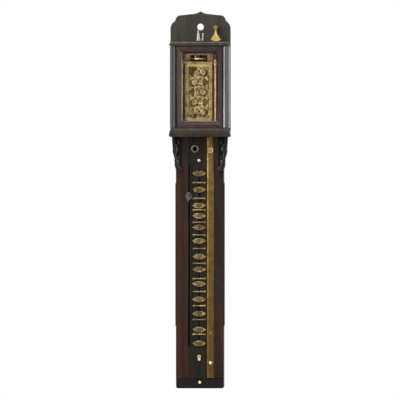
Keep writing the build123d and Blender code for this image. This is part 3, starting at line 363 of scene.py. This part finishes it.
# Soft edges: the widths in metres by which each CAD solid's arrises are rounded in the picture
edges = {
    "backboard": 0.0009, "trunk_sides": 0.0004, "side_battens": 0.0004, "front_stiles": 0.0005,
    "brackets": 0.0004, "trunk_floors": 0.0003, "seatboard": 0.0004, "scale_panel": 0.00025,
    "hood_base": 0.0003, "hood_cornice": 0.0003, "hood_sides": 0.0004, "door_frame": 0.0004,
    "drawer": 0.0005, "lock_bar": 0.0002, "front_plate": 0.00018, "movement_plates": 0.0003,
    "balance_cock": 0.0003, "arbor_bars": 0.0002, "winding_key": 0.0003, "winding_collar": 0.0003,
    "balance_wheel": 0.0003, "weight": 0.0006, "pointer": 0.00025, "hanger_legs": 0.0002,
    "great_wheel": 0.00012, "second_wheel": 0.0001, "crown_wheel": 0.0001,
}


same_point = 1e-6
flat_angle = math.radians(0.5)
arris_angle = math.radians(32)


def soften(obj, width):
    """Join a solid's triangles into its flats, then round the arrises between them."""
    weld = obj.modifiers.new("weld", "WELD")
    weld.merge_threshold = same_point
    flat = obj.modifiers.new("flat", "DECIMATE")
    flat.decimate_type = "DISSOLVE"
    flat.angle_limit = flat_angle
    bevel = obj.modifiers.new("edge", "BEVEL")
    bevel.width = width
    bevel.segments = 2
    bevel.limit_method = "ANGLE"
    bevel.angle_limit = arris_angle
    bevel.use_clamp_overlap = True


for name, node in frame["nodes"].items():
    node.data.materials.clear()
    node.data.materials.append(finish_for(name))
    if name in edges:
        soften(node, edges[name])


# Relief forms, all drawn on a face that looks forward

# How far behind its face a relief starts, so that no gap shows under it
sunk = 0.00005
sunk_thin = 0.00003

# Vertices nearer than this are one, and a skin turned by less area than this faces forward
same_vertex = 1e-7
no_area = 1e-9


class Relief:
    """One applied piece, gathered from ridges, domes and raised plates."""

    def __init__(self):
        self.verts = []
        self.faces = []

    def ring_of(self, loops, closed):
        """Join equal loops of points into a skin; a closed set meets its own start."""
        start = len(self.verts)
        size = len(loops[0])
        for loop in loops:
            self.verts.extend(loop)
        count = len(loops)
        for i in range(count if closed else count - 1):
            a, b = start + i * size, start + (i + 1) % count * size
            for j in range(size - 1):
                self.faces.append((a + j, a + j + 1, b + j + 1, b + j))

    def ridge(self, points, y, width, height, closed=False, taper=False):
        """A half-round moulding that follows points given in x and z."""
        loops = []
        count = len(points)
        for i, (x, z) in enumerate(points):
            before = points[i - 1] if closed or i else points[0]
            after = points[(i + 1) % count] if closed or i < count - 1 else points[-1]
            along = Vector((after[0] - before[0], after[1] - before[1])).normalized()
            side = Vector((-along.y, along.x))
            part = 1.0
            if taper:
                part = max(0.25, math.sin(math.pi * (i + 0.5) / count))
            loop = []
            for step in range(7):
                a = math.pi * step / 6
                reach = side * math.cos(a) * width / 2 * part
                loop.append((x + reach.x, y - math.sin(a) * height * part, z + reach.y))
            loops.append(loop)
        self.ring_of(loops, closed)

    def dome(self, x, z, y, half_width, half_height, height, turn=0.0, sides=16):
        """A low oval boss."""
        loops = []
        for step in range(4):
            a = math.pi / 2 * step / 3
            loop = []
            for n in range(sides + 1):
                b = 2 * math.pi * n / sides
                across = math.cos(b) * half_width * math.cos(a)
                up = math.sin(b) * half_height * math.cos(a)
                loop.append(
                    (
                        x + across * math.cos(turn) - up * math.sin(turn),
                        y - height * math.sin(a),
                        z + across * math.sin(turn) + up * math.cos(turn),
                    )
                )
            loops.append(loop)
        self.ring_of(loops, False)

    def leaf(self, x, z, y, length, angle, share, height):
        """A pointed leaf with a raised middle rib."""
        steps = 7
        rib, left, right = [], [], []
        for i in range(steps + 1):
            t = i / steps
            half = length * share / 2 * math.sin(math.pi * t)
            for row, off in ((left, half), (rib, 0.0), (right, -half)):
                across = t * length
                row.append(
                    (
                        x + across * math.cos(angle) - off * math.sin(angle),
                        y - (height * math.sin(math.pi * t) if row is rib else 0.0),
                        z + across * math.sin(angle) + off * math.cos(angle),
                    )
                )
        self.ring_of([left, rib, right], False)

    def slab(self, outline, y, height, inset=0.0, backed=False):
        """A raised flat with bevelled sides over a convex outline, with a back face where asked."""
        middle = Vector((sum(p[0] for p in outline), sum(p[1] for p in outline))) / len(outline)
        inner = []
        for x, z in outline:
            out = Vector((x, z)) - middle
            inner.append(middle + out * max(0.0, 1 - inset / max(out.length, 1e-6)))
        start = len(self.verts)
        count = len(outline)
        self.verts.extend((x, y, z) for x, z in outline)
        self.verts.extend((p.x, y - height, p.y) for p in inner)
        for i in range(count):
            j = (i + 1) % count
            self.faces.append((start + i, start + j, start + count + j, start + count + i))
        self.faces.append(tuple(start + count + i for i in range(count)))
        if backed:
            self.faces.append(tuple(start + i for i in reversed(range(count))))

    def make(self, name, material, body, slot="brass", smooth=True):
        """Turn the gathered skin to face forward and add it, riding its body where one is given."""
        mesh = bpy.data.meshes.new(name)
        mesh.from_pydata(self.verts, [], self.faces)
        mesh.materials.append(material)
        work = bmesh.new()
        work.from_mesh(mesh)
        bmesh.ops.remove_doubles(work, verts=work.verts, dist=same_vertex)
        bmesh.ops.recalc_face_normals(work, faces=work.faces)
        facing = sum(face.normal.y * face.calc_area() for face in work.faces)
        if facing > no_area:
            bmesh.ops.reverse_faces(work, faces=work.faces)
        for face in work.faces:
            face.smooth = smooth
        work.to_mesh(mesh)
        work.free()
        obj = bpy.data.objects.new(name, mesh)
        bpy.context.scene.collection.objects.link(obj)
        if body:
            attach(obj, body)
        return obj


def arc(x, z, radius, start, sweep, steps=24):
    """Points along a round stretch, with angles in degrees from the x axis."""
    return [
        (
            x + radius * math.cos(math.radians(start + sweep * i / steps)),
            z + radius * math.sin(math.radians(start + sweep * i / steps)),
        )
        for i in range(steps + 1)
    ]


def ring(x, z, radius, steps=35):
    """Points round a whole ring, for a closed ridge."""
    return arc(x, z, radius, 0, 360 * steps / (steps + 1), steps)


def level_loop(x, y, z, radius, sides):
    """Points round an upright axis, the first one again at the end."""
    turns = [2 * math.pi * n / sides for n in range(sides + 1)]
    return [(x + radius * math.cos(a), y + radius * math.sin(a), z) for a in turns]


def box_outline(x0, z0, x1, z1):
    """The corners of a rectangle, from two opposite ones."""
    return [(x0, z0), (x1, z0), (x1, z1), (x0, z1)]


def lens(x, z, half_width, half_height, steps=10):
    """The outline of a plaque: two shallow arcs that meet at points."""
    upper = []
    for i in range(steps + 1):
        t = -1 + 2 * i / steps
        upper.append((x + half_width * t, z + half_height * (1 - t * t)))
    lower = [(2 * x - px, 2 * z - pz) for px, pz in upper[1:-1]]
    return upper + lower


# Front plate


def scroll_relief():
    """The vine in the plate's window, rounded over the pierced metal below it."""
    stem, radius, count = 0.001, 0.0077, 5
    ridge_width, ridge_height = stem * 0.8, 0.00045
    leaf_length, leaf_reach, leaf_bend = 0.0047, 0.0057, 28
    curl_sweep = 165
    petals = 6
    height = window_high - window_low
    rise = (height - 2 * radius + stem) / (count - 1)
    stems, leaves, flowers = Relief(), Relief(), Relief()
    y = plate_face + sunk
    for number in range(count):
        side = -1 if number % 2 else 1
        turn = 90 - side * 90
        x = movement_x + side * (window_half - radius + stem / 2)
        z = window_low + radius - stem / 2 + number * rise
        stems.ridge(ring(x, z, radius - stem / 2), y, ridge_width, ridge_height, closed=True)
        spot, reach, angle = (x, z), radius, turn
        for share in (0.76, 0.5):
            a = math.radians(angle)
            step = reach - radius * share
            spot = (spot[0] + step * math.cos(a), spot[1] + step * math.sin(a))
            reach = radius * share
            curl = arc(*spot, reach - stem / 2, angle, side * curl_sweep, 18)
            stems.ridge(curl, y, ridge_width, ridge_height)
            angle += side * curl_sweep
        bloom = reach - stem / 2
        petal = bloom * 0.36
        for n in range(petals):
            a = math.radians(60 * n)
            place = (spot[0] + (bloom - petal) * math.cos(a), spot[1] + (bloom - petal) * math.sin(a))
            flowers.dome(*place, y, petal * 1.1, petal * 0.8, 0.0005, a, 10)
        flowers.ridge(arc(*spot, bloom * 0.32, 0, 345, 15), y, 0.0004, 0.0007, closed=True)
        for lean in (-165, -130, -92, -50, 50, 92, 130, 165):
            a = math.radians(turn + lean)
            foot = (x + radius * math.cos(a), z + radius * math.sin(a))
            tip_z = foot[1] + leaf_reach * math.sin(a)
            if window_low < tip_z < window_high and window_low < foot[1] < window_high:
                bend = math.radians(math.copysign(leaf_bend, lean))
                leaves.leaf(*foot, y, leaf_length, a + bend, 0.5, 0.0005)
    # The stems in the brighter brass: painted highlight.
    stems.make("plate_vine", painted_highlight_brass, "root")
    leaves.make("plate_leaves", plate_brass, "root")
    flowers.make("plate_flowers", plate_brass, "root")


def plate_lines():
    """Fillets and bands on the plate's border, the rings on its winding boss, and its pins."""
    lines = Relief()
    y = plate_face + sunk
    half = (front_high[0] - front_low[0]) / 2
    low, high = front_low[2], front_high[2]
    fillet_width, fillet_height = 0.0006, 0.0003
    for inset in (0.0009, 0.0031):
        x0, x1 = movement_x - half + inset, movement_x + half - inset
        for x in (x0, x1):
            lines.ridge([(x, low + inset), (x, high - inset)], y, fillet_width, fillet_height)
        for z in (low + inset, high - inset, window_low - inset / 2, window_high + inset / 2):
            lines.ridge([(x0, z), (x1, z)], y, fillet_width, fillet_height)
    boss_face = front_low[1] + sunk
    for radius in (0.0021, 0.0033, 0.0043):
        lines.ridge(ring(*great_place, radius, 23), boss_face, 0.0007, 0.00035, closed=True)
    # The fillets and boss rings in the brighter brass: painted highlight.
    lines.make("plate_lines", painted_highlight_brass, "root")
    # Dark rings between the boss's raised rings: painted shade in the grooves.
    grooves = Relief()
    for radius in (0.0027, 0.0038):
        grooves.ridge(ring(*great_place, radius, 23), boss_face, 0.0006, 0.00015, closed=True)
    grooves.make("plate_boss_grooves", painted_shade_brass, "root")
    bands = Relief()
    border, edge = 0.0034, 0.0008
    left, right = movement_x - half + border, movement_x + half - border
    bands.slab(box_outline(left, window_high + edge, right, high - border), y, 0.0001, 0.0001)
    bands.slab(box_outline(left, low + border, right, window_low - edge), y, 0.0001, 0.0001)
    # The bands in the brighter brass: painted highlight.
    bands.make("plate_bands", painted_highlight_brass, "root", smooth=False)
    pins = Relief()
    pin_across, pin_up, pin_radius = 0.002, 0.0024, 0.0011
    for x in (movement_x - half + pin_across, movement_x + half - pin_across):
        for z in (low + pin_up, high - pin_up):
            pins.dome(x, z, y, pin_radius, pin_radius, 0.0006)
    pins.make("plate_pins", bright_brass, "root")


def plate_shade_sheet():
    """A dark brass sheet behind the pierced plate, open round the winding arbor: painted shade in the plate's
    openings.
    """
    y = plate_face + 0.0017
    inset, half = 0.0031, 0.0193
    low, high = front_low[2] + inset, front_high[2] - inset
    left, right = movement_x - half, movement_x + half
    x, z = great_place
    reach = 0.004
    form = Relief()
    for x0, x1, z0, z1 in (
        (left, right, z + reach, high),
        (left, right, low, z - reach),
        (left, x - reach, z - reach, z + reach),
        (x + reach, right, z - reach, z + reach),
    ):
        form.slab(box_outline(x0, z0, x1, z1), y, 0.0003, 0.00005)
    form.make("plate_shade_sheet", painted_shade_brass, "root", smooth=False)


# Plaques and half-hour bars


def numeral_strokes(number):
    """Strokes of the Japanese hour numbers four to nine, in a square of side 1 about its middle."""
    return {
        9: [[(-0.45, 0.2), (0.2, 0.2), (0.15, -0.35), (0.5, -0.4), (0.5, -0.2)],
            [(-0.1, 0.5), (-0.1, 0.1), (-0.45, -0.45)]],
        8: [[(-0.15, 0.3), (-0.25, -0.1), (-0.5, -0.45)], [(0.1, 0.35), (0.25, -0.1), (0.5, -0.45)]],
        7: [[(-0.5, 0.0), (0.5, 0.2)], [(-0.1, 0.5), (-0.1, -0.4), (0.5, -0.4), (0.5, -0.2)]],
        6: [[(-0.05, 0.5), (0.05, 0.35)], [(-0.5, 0.15), (0.5, 0.15)],
            [(-0.15, -0.05), (-0.45, -0.45)], [(0.15, -0.05), (0.45, -0.45)]],
        5: [[(-0.4, 0.45), (0.4, 0.45)], [(-0.05, 0.45), (-0.15, -0.45)],
            [(-0.35, 0.05), (0.3, 0.05), (0.25, -0.45)], [(-0.5, -0.45), (0.5, -0.45)]],
        4: [[(-0.45, 0.4), (-0.45, -0.4), (0.45, -0.4), (0.45, 0.4), (-0.45, 0.4)],
            [(-0.15, 0.4), (-0.2, -0.1)], [(0.15, 0.4), (0.18, -0.05), (0.4, -0.05)]],
    }[number]


def dress_plaque(name, number, seed):
    """A plaque's raised rim, the bosses and leaves at its points, and its hour number."""
    low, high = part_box(name)
    x, z = (low[0] + high[0]) / 2, (low[2] + high[2]) / 2
    half_width, half_height = (high[0] - low[0]) / 2, (high[2] - low[2]) / 2
    y = low[1] + 0.00002
    rise = 0.00028
    rng = random.Random(seed)
    rim = Relief()
    rim.ridge(lens(x, z, half_width * 0.93, half_height * 0.88), y, 0.0007, rise, closed=True)
    for side in (-1, 1):
        place = x + side * half_width * 0.66
        rim.dome(place, z, y, 0.0007, 0.0006, rise)
        for n in range(4):
            spot = (place - side * rng.uniform(0.0, 0.0028), z + rng.uniform(-0.0015, 0.0015))
            rim.leaf(*spot, y, 0.0016, rng.uniform(0, 6.28), 0.5, 0.0002)
    rim.make(name + "_rim", plaque_rim, name, "gilt_brass")
    mark = Relief()
    size, stroke_width, stroke_height = 0.0042, 0.00062, 0.00022
    for stroke in numeral_strokes(number):
        points = [(x + size * sx, z + size * sz) for sx, sz in stroke]
        mark.ridge(points, y, stroke_width, stroke_height)
    mark.make(name + "_number", engraved, name, "gilt_brass")


def dress_bar(name):
    """The bead along a half-hour bar."""
    low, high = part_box(name)
    x, z = (low[0] + high[0]) / 2, (low[2] + high[2]) / 2
    half = (high[0] - low[0]) / 2
    y = low[1] + sunk
    form = Relief()
    form.ridge([(x - half * 0.9, z + 0.0003), (x + half * 0.9, z + 0.0003)], y, 0.001, 0.00025)
    form.make(name + "_bead", plaque_rim, name, "gilt_brass")


def dress_scale():
    """All plaques and half-hour bars, from the top down."""
    hours = (9, 8, 7, 6, 5, 4, 9, 8, 7, 6, 5, 4, 9)
    for place, number in enumerate(hours, 1):
        dress_plaque(f"hour_plaque_{place:02d}", number, place)
    for place in range(1, 13):
        dress_bar(f"half_hour_bar_{place:02d}")


# Key, brackets and lock bar


def key_relief():
    """The raised veins of the key's fan."""
    low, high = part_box("winding_key")
    x, y = (low[0] + high[0]) / 2, low[1] + sunk
    top, foot = high[2], low[2]
    hub = (x, top - 0.0029)
    neck = 0.0095
    form = Relief()
    for n in range(5):
        lean = math.radians(-21 + 42 * n / 4)
        start = (hub[0] + neck * math.sin(lean * 0.7), hub[1] - neck)
        reach = top - foot - 0.0042 - 0.0012 * abs(n - 2)
        end = (hub[0] + reach * math.sin(lean), hub[1] - reach * math.cos(lean))
        middle = ((start[0] + end[0]) / 2, (start[1] + end[1]) / 2)
        form.ridge([start, middle, end], y, 0.0006, 0.0002, taper=True)
    form.make("key_veins", key_brass, "key")


def bracket_relief():
    """Each bracket's sunk ground under a black sheet, its raised rim and the small raised scrolls on it: the
    black sheet is painted shade, the pale rim and scrolls are painted highlights.
    """
    low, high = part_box("brackets")
    edge, top = 0.031, high[2]
    height, stand = high[2] - low[2], 0.005
    inner = 0.0242
    y = low[1] + 0.0034
    shares = (
        (-0.35, 0.02), (-0.1, 0.2), (0.25, 0.41), (-0.12, 0.48),
        (-0.05, 0.6), (0.28, 0.75), (0.6, 0.83), (1.35, 0.93),
    )
    for side, name in ((-1, "left"), (1, "right")):
        outline = [(side * (edge - stand * x), top - height * z) for x, z in shares]
        outline += [(side * inner, top - height * 0.93), (side * inner, top - height * 0.02)]
        # A black sheet over the sunk ground: painted shade.
        ground = Relief()
        ground.slab(outline, y, 0.00025, 0.0003)
        ground.make("bracket_shade_sheet_" + name, painted_shade_black, "root", "black_wood", smooth=False)
        rim = Relief()
        border = [(x - side * 0.0005, z) for x, z in outline[1:len(shares)]]
        rim.ridge(border, low[1] + sunk, 0.0005, 0.0003)
        rim.make("bracket_rim_" + name, painted_highlight_carving, "root", "black_wood")
        form = Relief()
        x = side * 0.0300
        upper = arc(x, top - 0.0075, 0.0026, 90 - side * 60, side * 240, 14)
        lower = arc(x - side * 0.0005, top - 0.0262, 0.0021, 90, side * 220, 12)
        form.ridge(upper, y, 0.0009, 0.0018, taper=True)
        form.leaf(x + side * 0.0006, top - 0.0115, y, 0.0072, math.radians(-90 - side * 18), 0.36, 0.0018)
        form.ridge(lower, y, 0.0008, 0.0016, taper=True)
        form.leaf(x - side * 0.0008, top - 0.029, y, 0.006, math.radians(-90 - side * 22), 0.36, 0.0016)
        form.make("bracket_carving_" + name, painted_highlight_carving, "root", "black_wood")


def lock_bar_marks():
    """The raised rings on the bar's top stud, the cuts beside them and the small curls above it."""
    low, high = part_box("lock_bar")
    x, z = (low[0] + high[0]) / 2, top_stud_height
    stud = bpy.data.objects["lock_bar_studs"]
    points = [stud.matrix_world @ v.co for v in stud.data.vertices]
    top = [p for p in points if p.z > z - 0.005]
    stud_face = min(p.y for p in top) + sunk_thin
    bar_face = low[1] + sunk_thin
    radius = max(p.x for p in top) - x
    form = Relief()
    form.ridge(ring(x, z, radius - 0.0005), stud_face, 0.0009, 0.0001, closed=True)
    form.ridge(ring(x, z, 0.0009, 17), stud_face, 0.0006, 0.0001, closed=True)
    form.make("lock_bar_ring", ring_brass, "lock_bar")
    cuts = Relief()
    cuts.ridge(ring(x, z, radius - 0.0013), stud_face, 0.0006, 0.00005, closed=True)
    cuts.ridge(ring(x, z, radius + 0.0004), bar_face, 0.0006, 0.00004, closed=True)
    for side, rise in ((-1, 0.0050), (1, 0.0064), (-1, 0.0080), (1, 0.0094)):
        curl = arc(x + side * 0.0009, z + rise, 0.0013, 90, side * 250, 14)
        cuts.ridge(curl, bar_face, 0.0006, 0.00004)
    cuts.make("lock_bar_cuts", engraved, "lock_bar")


# Hood and movement


def hood_beads():
    """The two beads down the front of each post, and the beads along the cornice and the base."""
    low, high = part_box("hood_sides")
    outer, inner, end = 0.0026, 0.0059, 0.0002
    bead_width, bead_height = 0.0032, 0.0019
    beads = (
        ("left_outer", -1, outer, lacquer),
        ("left_inner", -1, inner, lacquer),
        # The right post's inner bead is in the pale lacquer: painted highlight.
        ("right_inner", 1, inner, painted_highlight_lacquer),
        ("right_outer", 1, outer, lacquer),
    )
    for name, side, across, material in beads:
        form = Relief()
        x = side * (high[0] - across)
        form.ridge([(x, low[2] + end), (x, high[2] - end)], low[1] + 0.0013, bead_width, bead_height)
        form.make("post_bead_" + name, material, "hood", "black_wood")
    low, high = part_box("hood_cornice")
    form = Relief()
    z = high[2] - 0.0014
    half = high[0] - 0.0021
    # The cornice bead in pale wood: painted highlight.
    form.ridge([(-half, z), (half, z)], low[1] + 0.0021, 0.0013, 0.0009)
    form.make("cornice_bead", painted_highlight_edge, "hood", "black_wood")
    low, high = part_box("hood_base")
    height = high[2] - low[2]
    # A pale bead and, just above it, a black ridge on the base moulding: painted highlight on the arris and
    # painted shade in the quirk.
    light, dark = Relief(), Relief()
    z, half, y = low[2] + height * 0.4, high[0] - 0.0002, low[1] + 0.0001
    dark_z, dark_half, dark_y = low[2] + height * 0.48, high[0] - 0.0012, low[1] + 0.00115
    light.ridge([(-half, z), (half, z)], y, 0.0008, 0.0001)
    dark.ridge([(-dark_half, dark_z), (dark_half, dark_z)], dark_y, 0.0009, 0.0003)
    light.make("base_bead", painted_highlight_base, "hood", "black_wood")
    dark.make("base_shade_line", painted_shade_black, "hood", "black_wood")


def door_bead():
    """A pale bead along the door's inner edge at the window's left side and foot: painted highlight."""
    low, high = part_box("door_glass")
    rebate = 0.0015
    width, height = 0.001, 0.0007
    left, foot = low[0] + rebate + 0.0005, low[2] + rebate + 0.0005
    right, top = high[0] - rebate, high[2] - rebate
    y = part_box("door_frame")[0][1] + 0.0036
    form = Relief()
    form.ridge([(left, foot), (left, top)], y, width, height)
    form.ridge([(left, foot), (right, foot)], y, width, height)
    form.make("door_bead", painted_highlight_door, "door", "black_wood")


def cock_blocks():
    """The two small brass blocks that stand on the top plate beside the cock."""
    low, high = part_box("balance_cock")
    for side, name in ((-1, "left"), (1, "right")):
        inner = movement_x + side * (high[0] - low[0]) / 2 + side * 0.0002
        outer = movement_x + side * 0.0234
        form = Relief()
        foot = low[2] + 0.0002
        outline = [(inner, foot), (outer, foot), (outer, high[2] - 0.001), (inner, high[2])]
        form.slab(outline, low[1] + 0.0036, 0.003, 0.0003, backed=True)
        form.make("cock_block_" + name, block_brass, "root", smooth=False)


def timing_pin():
    """The round-headed pin that stands on the balance's rim."""
    low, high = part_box("balance_wheel")
    x, y, z = -0.0057, low[1] + 0.0016, high[2]
    shank, head, head_rise = 0.0005, 0.0013, 0.0024
    profile = [(shank, -0.0002), (shank, 0.0014)]
    for n in range(2, 9):
        a = math.pi * n / 8
        profile.append((head * math.sin(a), head_rise - head * math.cos(a)))
    form = Relief()
    form.ring_of([level_loop(x, y, z + rise, radius, 14) for radius, rise in profile], False)
    form.make("balance_pin", painted_glint_brass, "balance")


def panel_joint():
    """A thin black strip between the left stile and the scale panel above the pointer's slit: painted shade
    in the gap.
    """
    half = 0.0006
    x = panel_low[0] + half
    top = panel_high[2] - 0.0004
    form = Relief()
    form.slab(box_outline(x - half, slit_top, x + half, top), trunk_face, 0.00006, 0.00005)
    form.make("panel_joint", painted_shade_black, "root", "black_wood", smooth=False)


# Linings inside the hood, and the weight's line


def hood_lining():
    """Pale boards that line the hood's sides and the backboard behind the movement."""
    side_low, side_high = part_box("hood_sides")
    inner = side_high[0] - 0.004
    low, high = side_low[2] + 0.0002, side_high[2] - 0.0002
    for side, name in ((-1, "left"), (1, "right")):
        x = side * (inner - 0.0001)
        back, front = side_high[1] - 0.0002, side_low[1] + 0.0097
        mesh = bpy.data.meshes.new("hood_lining_" + name)
        corners = [(x, back, low), (x, front, low), (x, front, high), (x, back, high)]
        mesh.from_pydata(corners, [], [(0, 1, 2, 3)])
        mesh.materials.append(lining)
        obj = bpy.data.objects.new("hood_lining_" + name, mesh)
        bpy.context.scene.collection.objects.link(obj)
        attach(obj, "hood")
    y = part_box("backboard")[0][1] - 0.0001
    form = Relief()
    half = inner - 0.001
    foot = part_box("seatboard")[1][2]
    form.slab(box_outline(-half, foot, half, high), y + 0.0001, 0.0003, 0.0002)
    form.make("back_lining", lining, "root", "plain_wood", smooth=False)


def drive_line():
    """The weight's line: a round tube over the CAD line's length between the barrel and the weight, with the
    CAD line hidden.
    """
    low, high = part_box("weight_line")
    x, y = (low[0] + high[0]) / 2, (low[1] + high[1]) / 2
    radius = (high[0] - low[0]) / 2
    sides = 12
    steps = 24
    loops = [level_loop(x, y, high[2], 0, sides)]
    for step in range(steps + 1):
        z = high[2] + (low[2] - high[2]) * step / steps
        loops.append(level_loop(x, y, z, radius, sides))
    loops.append(level_loop(x, y, low[2], 0, sides))
    form = Relief()
    form.ring_of(loops, False)
    line = form.make("drive_line", iron, None, "line")
    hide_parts("weight_line")
    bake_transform(line)


scroll_relief()
plate_lines()
dress_scale()
key_relief()
bracket_relief()
lock_bar_marks()
panel_joint()
hood_beads()
door_bead()
cock_blocks()
timing_pin()
drive_line()
hood_lining()
plate_shade_sheet()


# Camera, light and background


def camera():
    """A far camera a little to the right of the front, which takes in 0.52 m at the clock."""
    sensor, distance, shown_width = 36, 14.0, 0.52
    data = bpy.data.cameras.new("camera")
    data.sensor_width = sensor
    data.lens = sensor * distance / shown_width
    data.clip_end = 100
    cam = bpy.data.objects.new("camera", data)
    bpy.context.scene.collection.objects.link(cam)
    turn = math.radians(1.4)
    target = Vector((0.0002, -0.042, -0.2256))
    back = Vector((math.sin(turn), -math.cos(turn), 0))
    cam.location = target + back * distance
    cam.rotation_mode = "QUATERNION"
    cam.rotation_quaternion = (-back).to_track_quat("-Z", "Y")
    bpy.context.scene.camera = cam


def lamp(name, place, aim, size, power):
    """A rectangular lamp that faces the place it is aimed at."""
    data = bpy.data.lights.new(name, "AREA")
    data.shape = "RECTANGLE"
    data.size, data.size_y = size
    data.energy = power
    obj = bpy.data.objects.new(name, data)
    bpy.context.scene.collection.objects.link(obj)
    obj.location = place
    obj.rotation_mode = "QUATERNION"
    obj.rotation_quaternion = (Vector(aim) - Vector(place)).to_track_quat("-Z", "Y")


def white_where_seen(tree):
    """1 for camera, glossy and transmission rays, and 0 for the rays that light the object."""
    path = tree.nodes.new("ShaderNodeLightPath")
    seen = path.outputs["Is Camera Ray"]
    for name in ("Is Glossy Ray", "Is Transmission Ray"):
        node = tree.nodes.new("ShaderNodeMath")
        node.operation = "MAXIMUM"
        tree.links.new(seen, node.inputs[0])
        tree.links.new(path.outputs[name], node.inputs[1])
        seen = node.outputs[0]
    return seen


def world():
    """White where it is seen or mirrored, and dim as a light on the clock."""
    dim, white = 0.25, 1.0
    w = bpy.data.worlds.new("world")
    bpy.context.scene.world = w
    w.use_nodes = True
    tree = w.node_tree
    background = tree.nodes["Background"]
    background.inputs["Color"].default_value = (1, 1, 1, 1)
    seen = white_where_seen(tree)
    level = tree.nodes.new("ShaderNodeMix")
    level.data_type = "FLOAT"
    level.inputs[2].default_value = dim
    level.inputs[3].default_value = white
    tree.links.new(seen, level.inputs[0])
    tree.links.new(level.outputs[0], background.inputs["Strength"])


def floor():
    """A pale floor under the hanging clock that keeps its shadow."""
    reach, z, grey, seen_glow = 6.0, -0.62, 0.82, 0.6
    mesh = bpy.data.meshes.new("floor")
    corners = [(x, y, z) for x, y in box_outline(-reach, -reach, reach, reach)]
    mesh.from_pydata(corners, [], [(0, 1, 2, 3)])
    obj = bpy.data.objects.new("floor", mesh)
    bpy.context.scene.collection.objects.link(obj)
    m = bpy.data.materials.new("floor_white")
    m.use_nodes = True
    shader = m.node_tree.nodes["Principled BSDF"]
    shader.inputs["Base Color"].default_value = (grey, grey, grey, 1)
    shader.inputs["Roughness"].default_value = 0.9
    shader.inputs["Specular IOR Level"].default_value = 0.0
    shader.inputs["Emission Color"].default_value = (1, 1, 1, 1)
    glow = m.node_tree.nodes.new("ShaderNodeMath")
    glow.operation = "MULTIPLY"
    glow.inputs[1].default_value = seen_glow
    m.node_tree.links.new(white_where_seen(m.node_tree), glow.inputs[0])
    m.node_tree.links.new(glow.outputs[0], shader.inputs["Emission Strength"])
    mesh.materials.append(m)


camera()
world()
floor()
lamp("left_box", (-1.15, -1.05, 0.3), (0, 0, -0.05), (0.6, 1.0), 21)
lamp("right_box", (1.6, -0.1, 0.2), (0, 0, -0.1), (0.5, 1.0), 13)
lamp("key", (-0.35, -0.9, 1.05), (0, 0, -0.05), (0.7, 0.5), 20)
bpy.context.scene.view_settings.view_transform = "Standard"
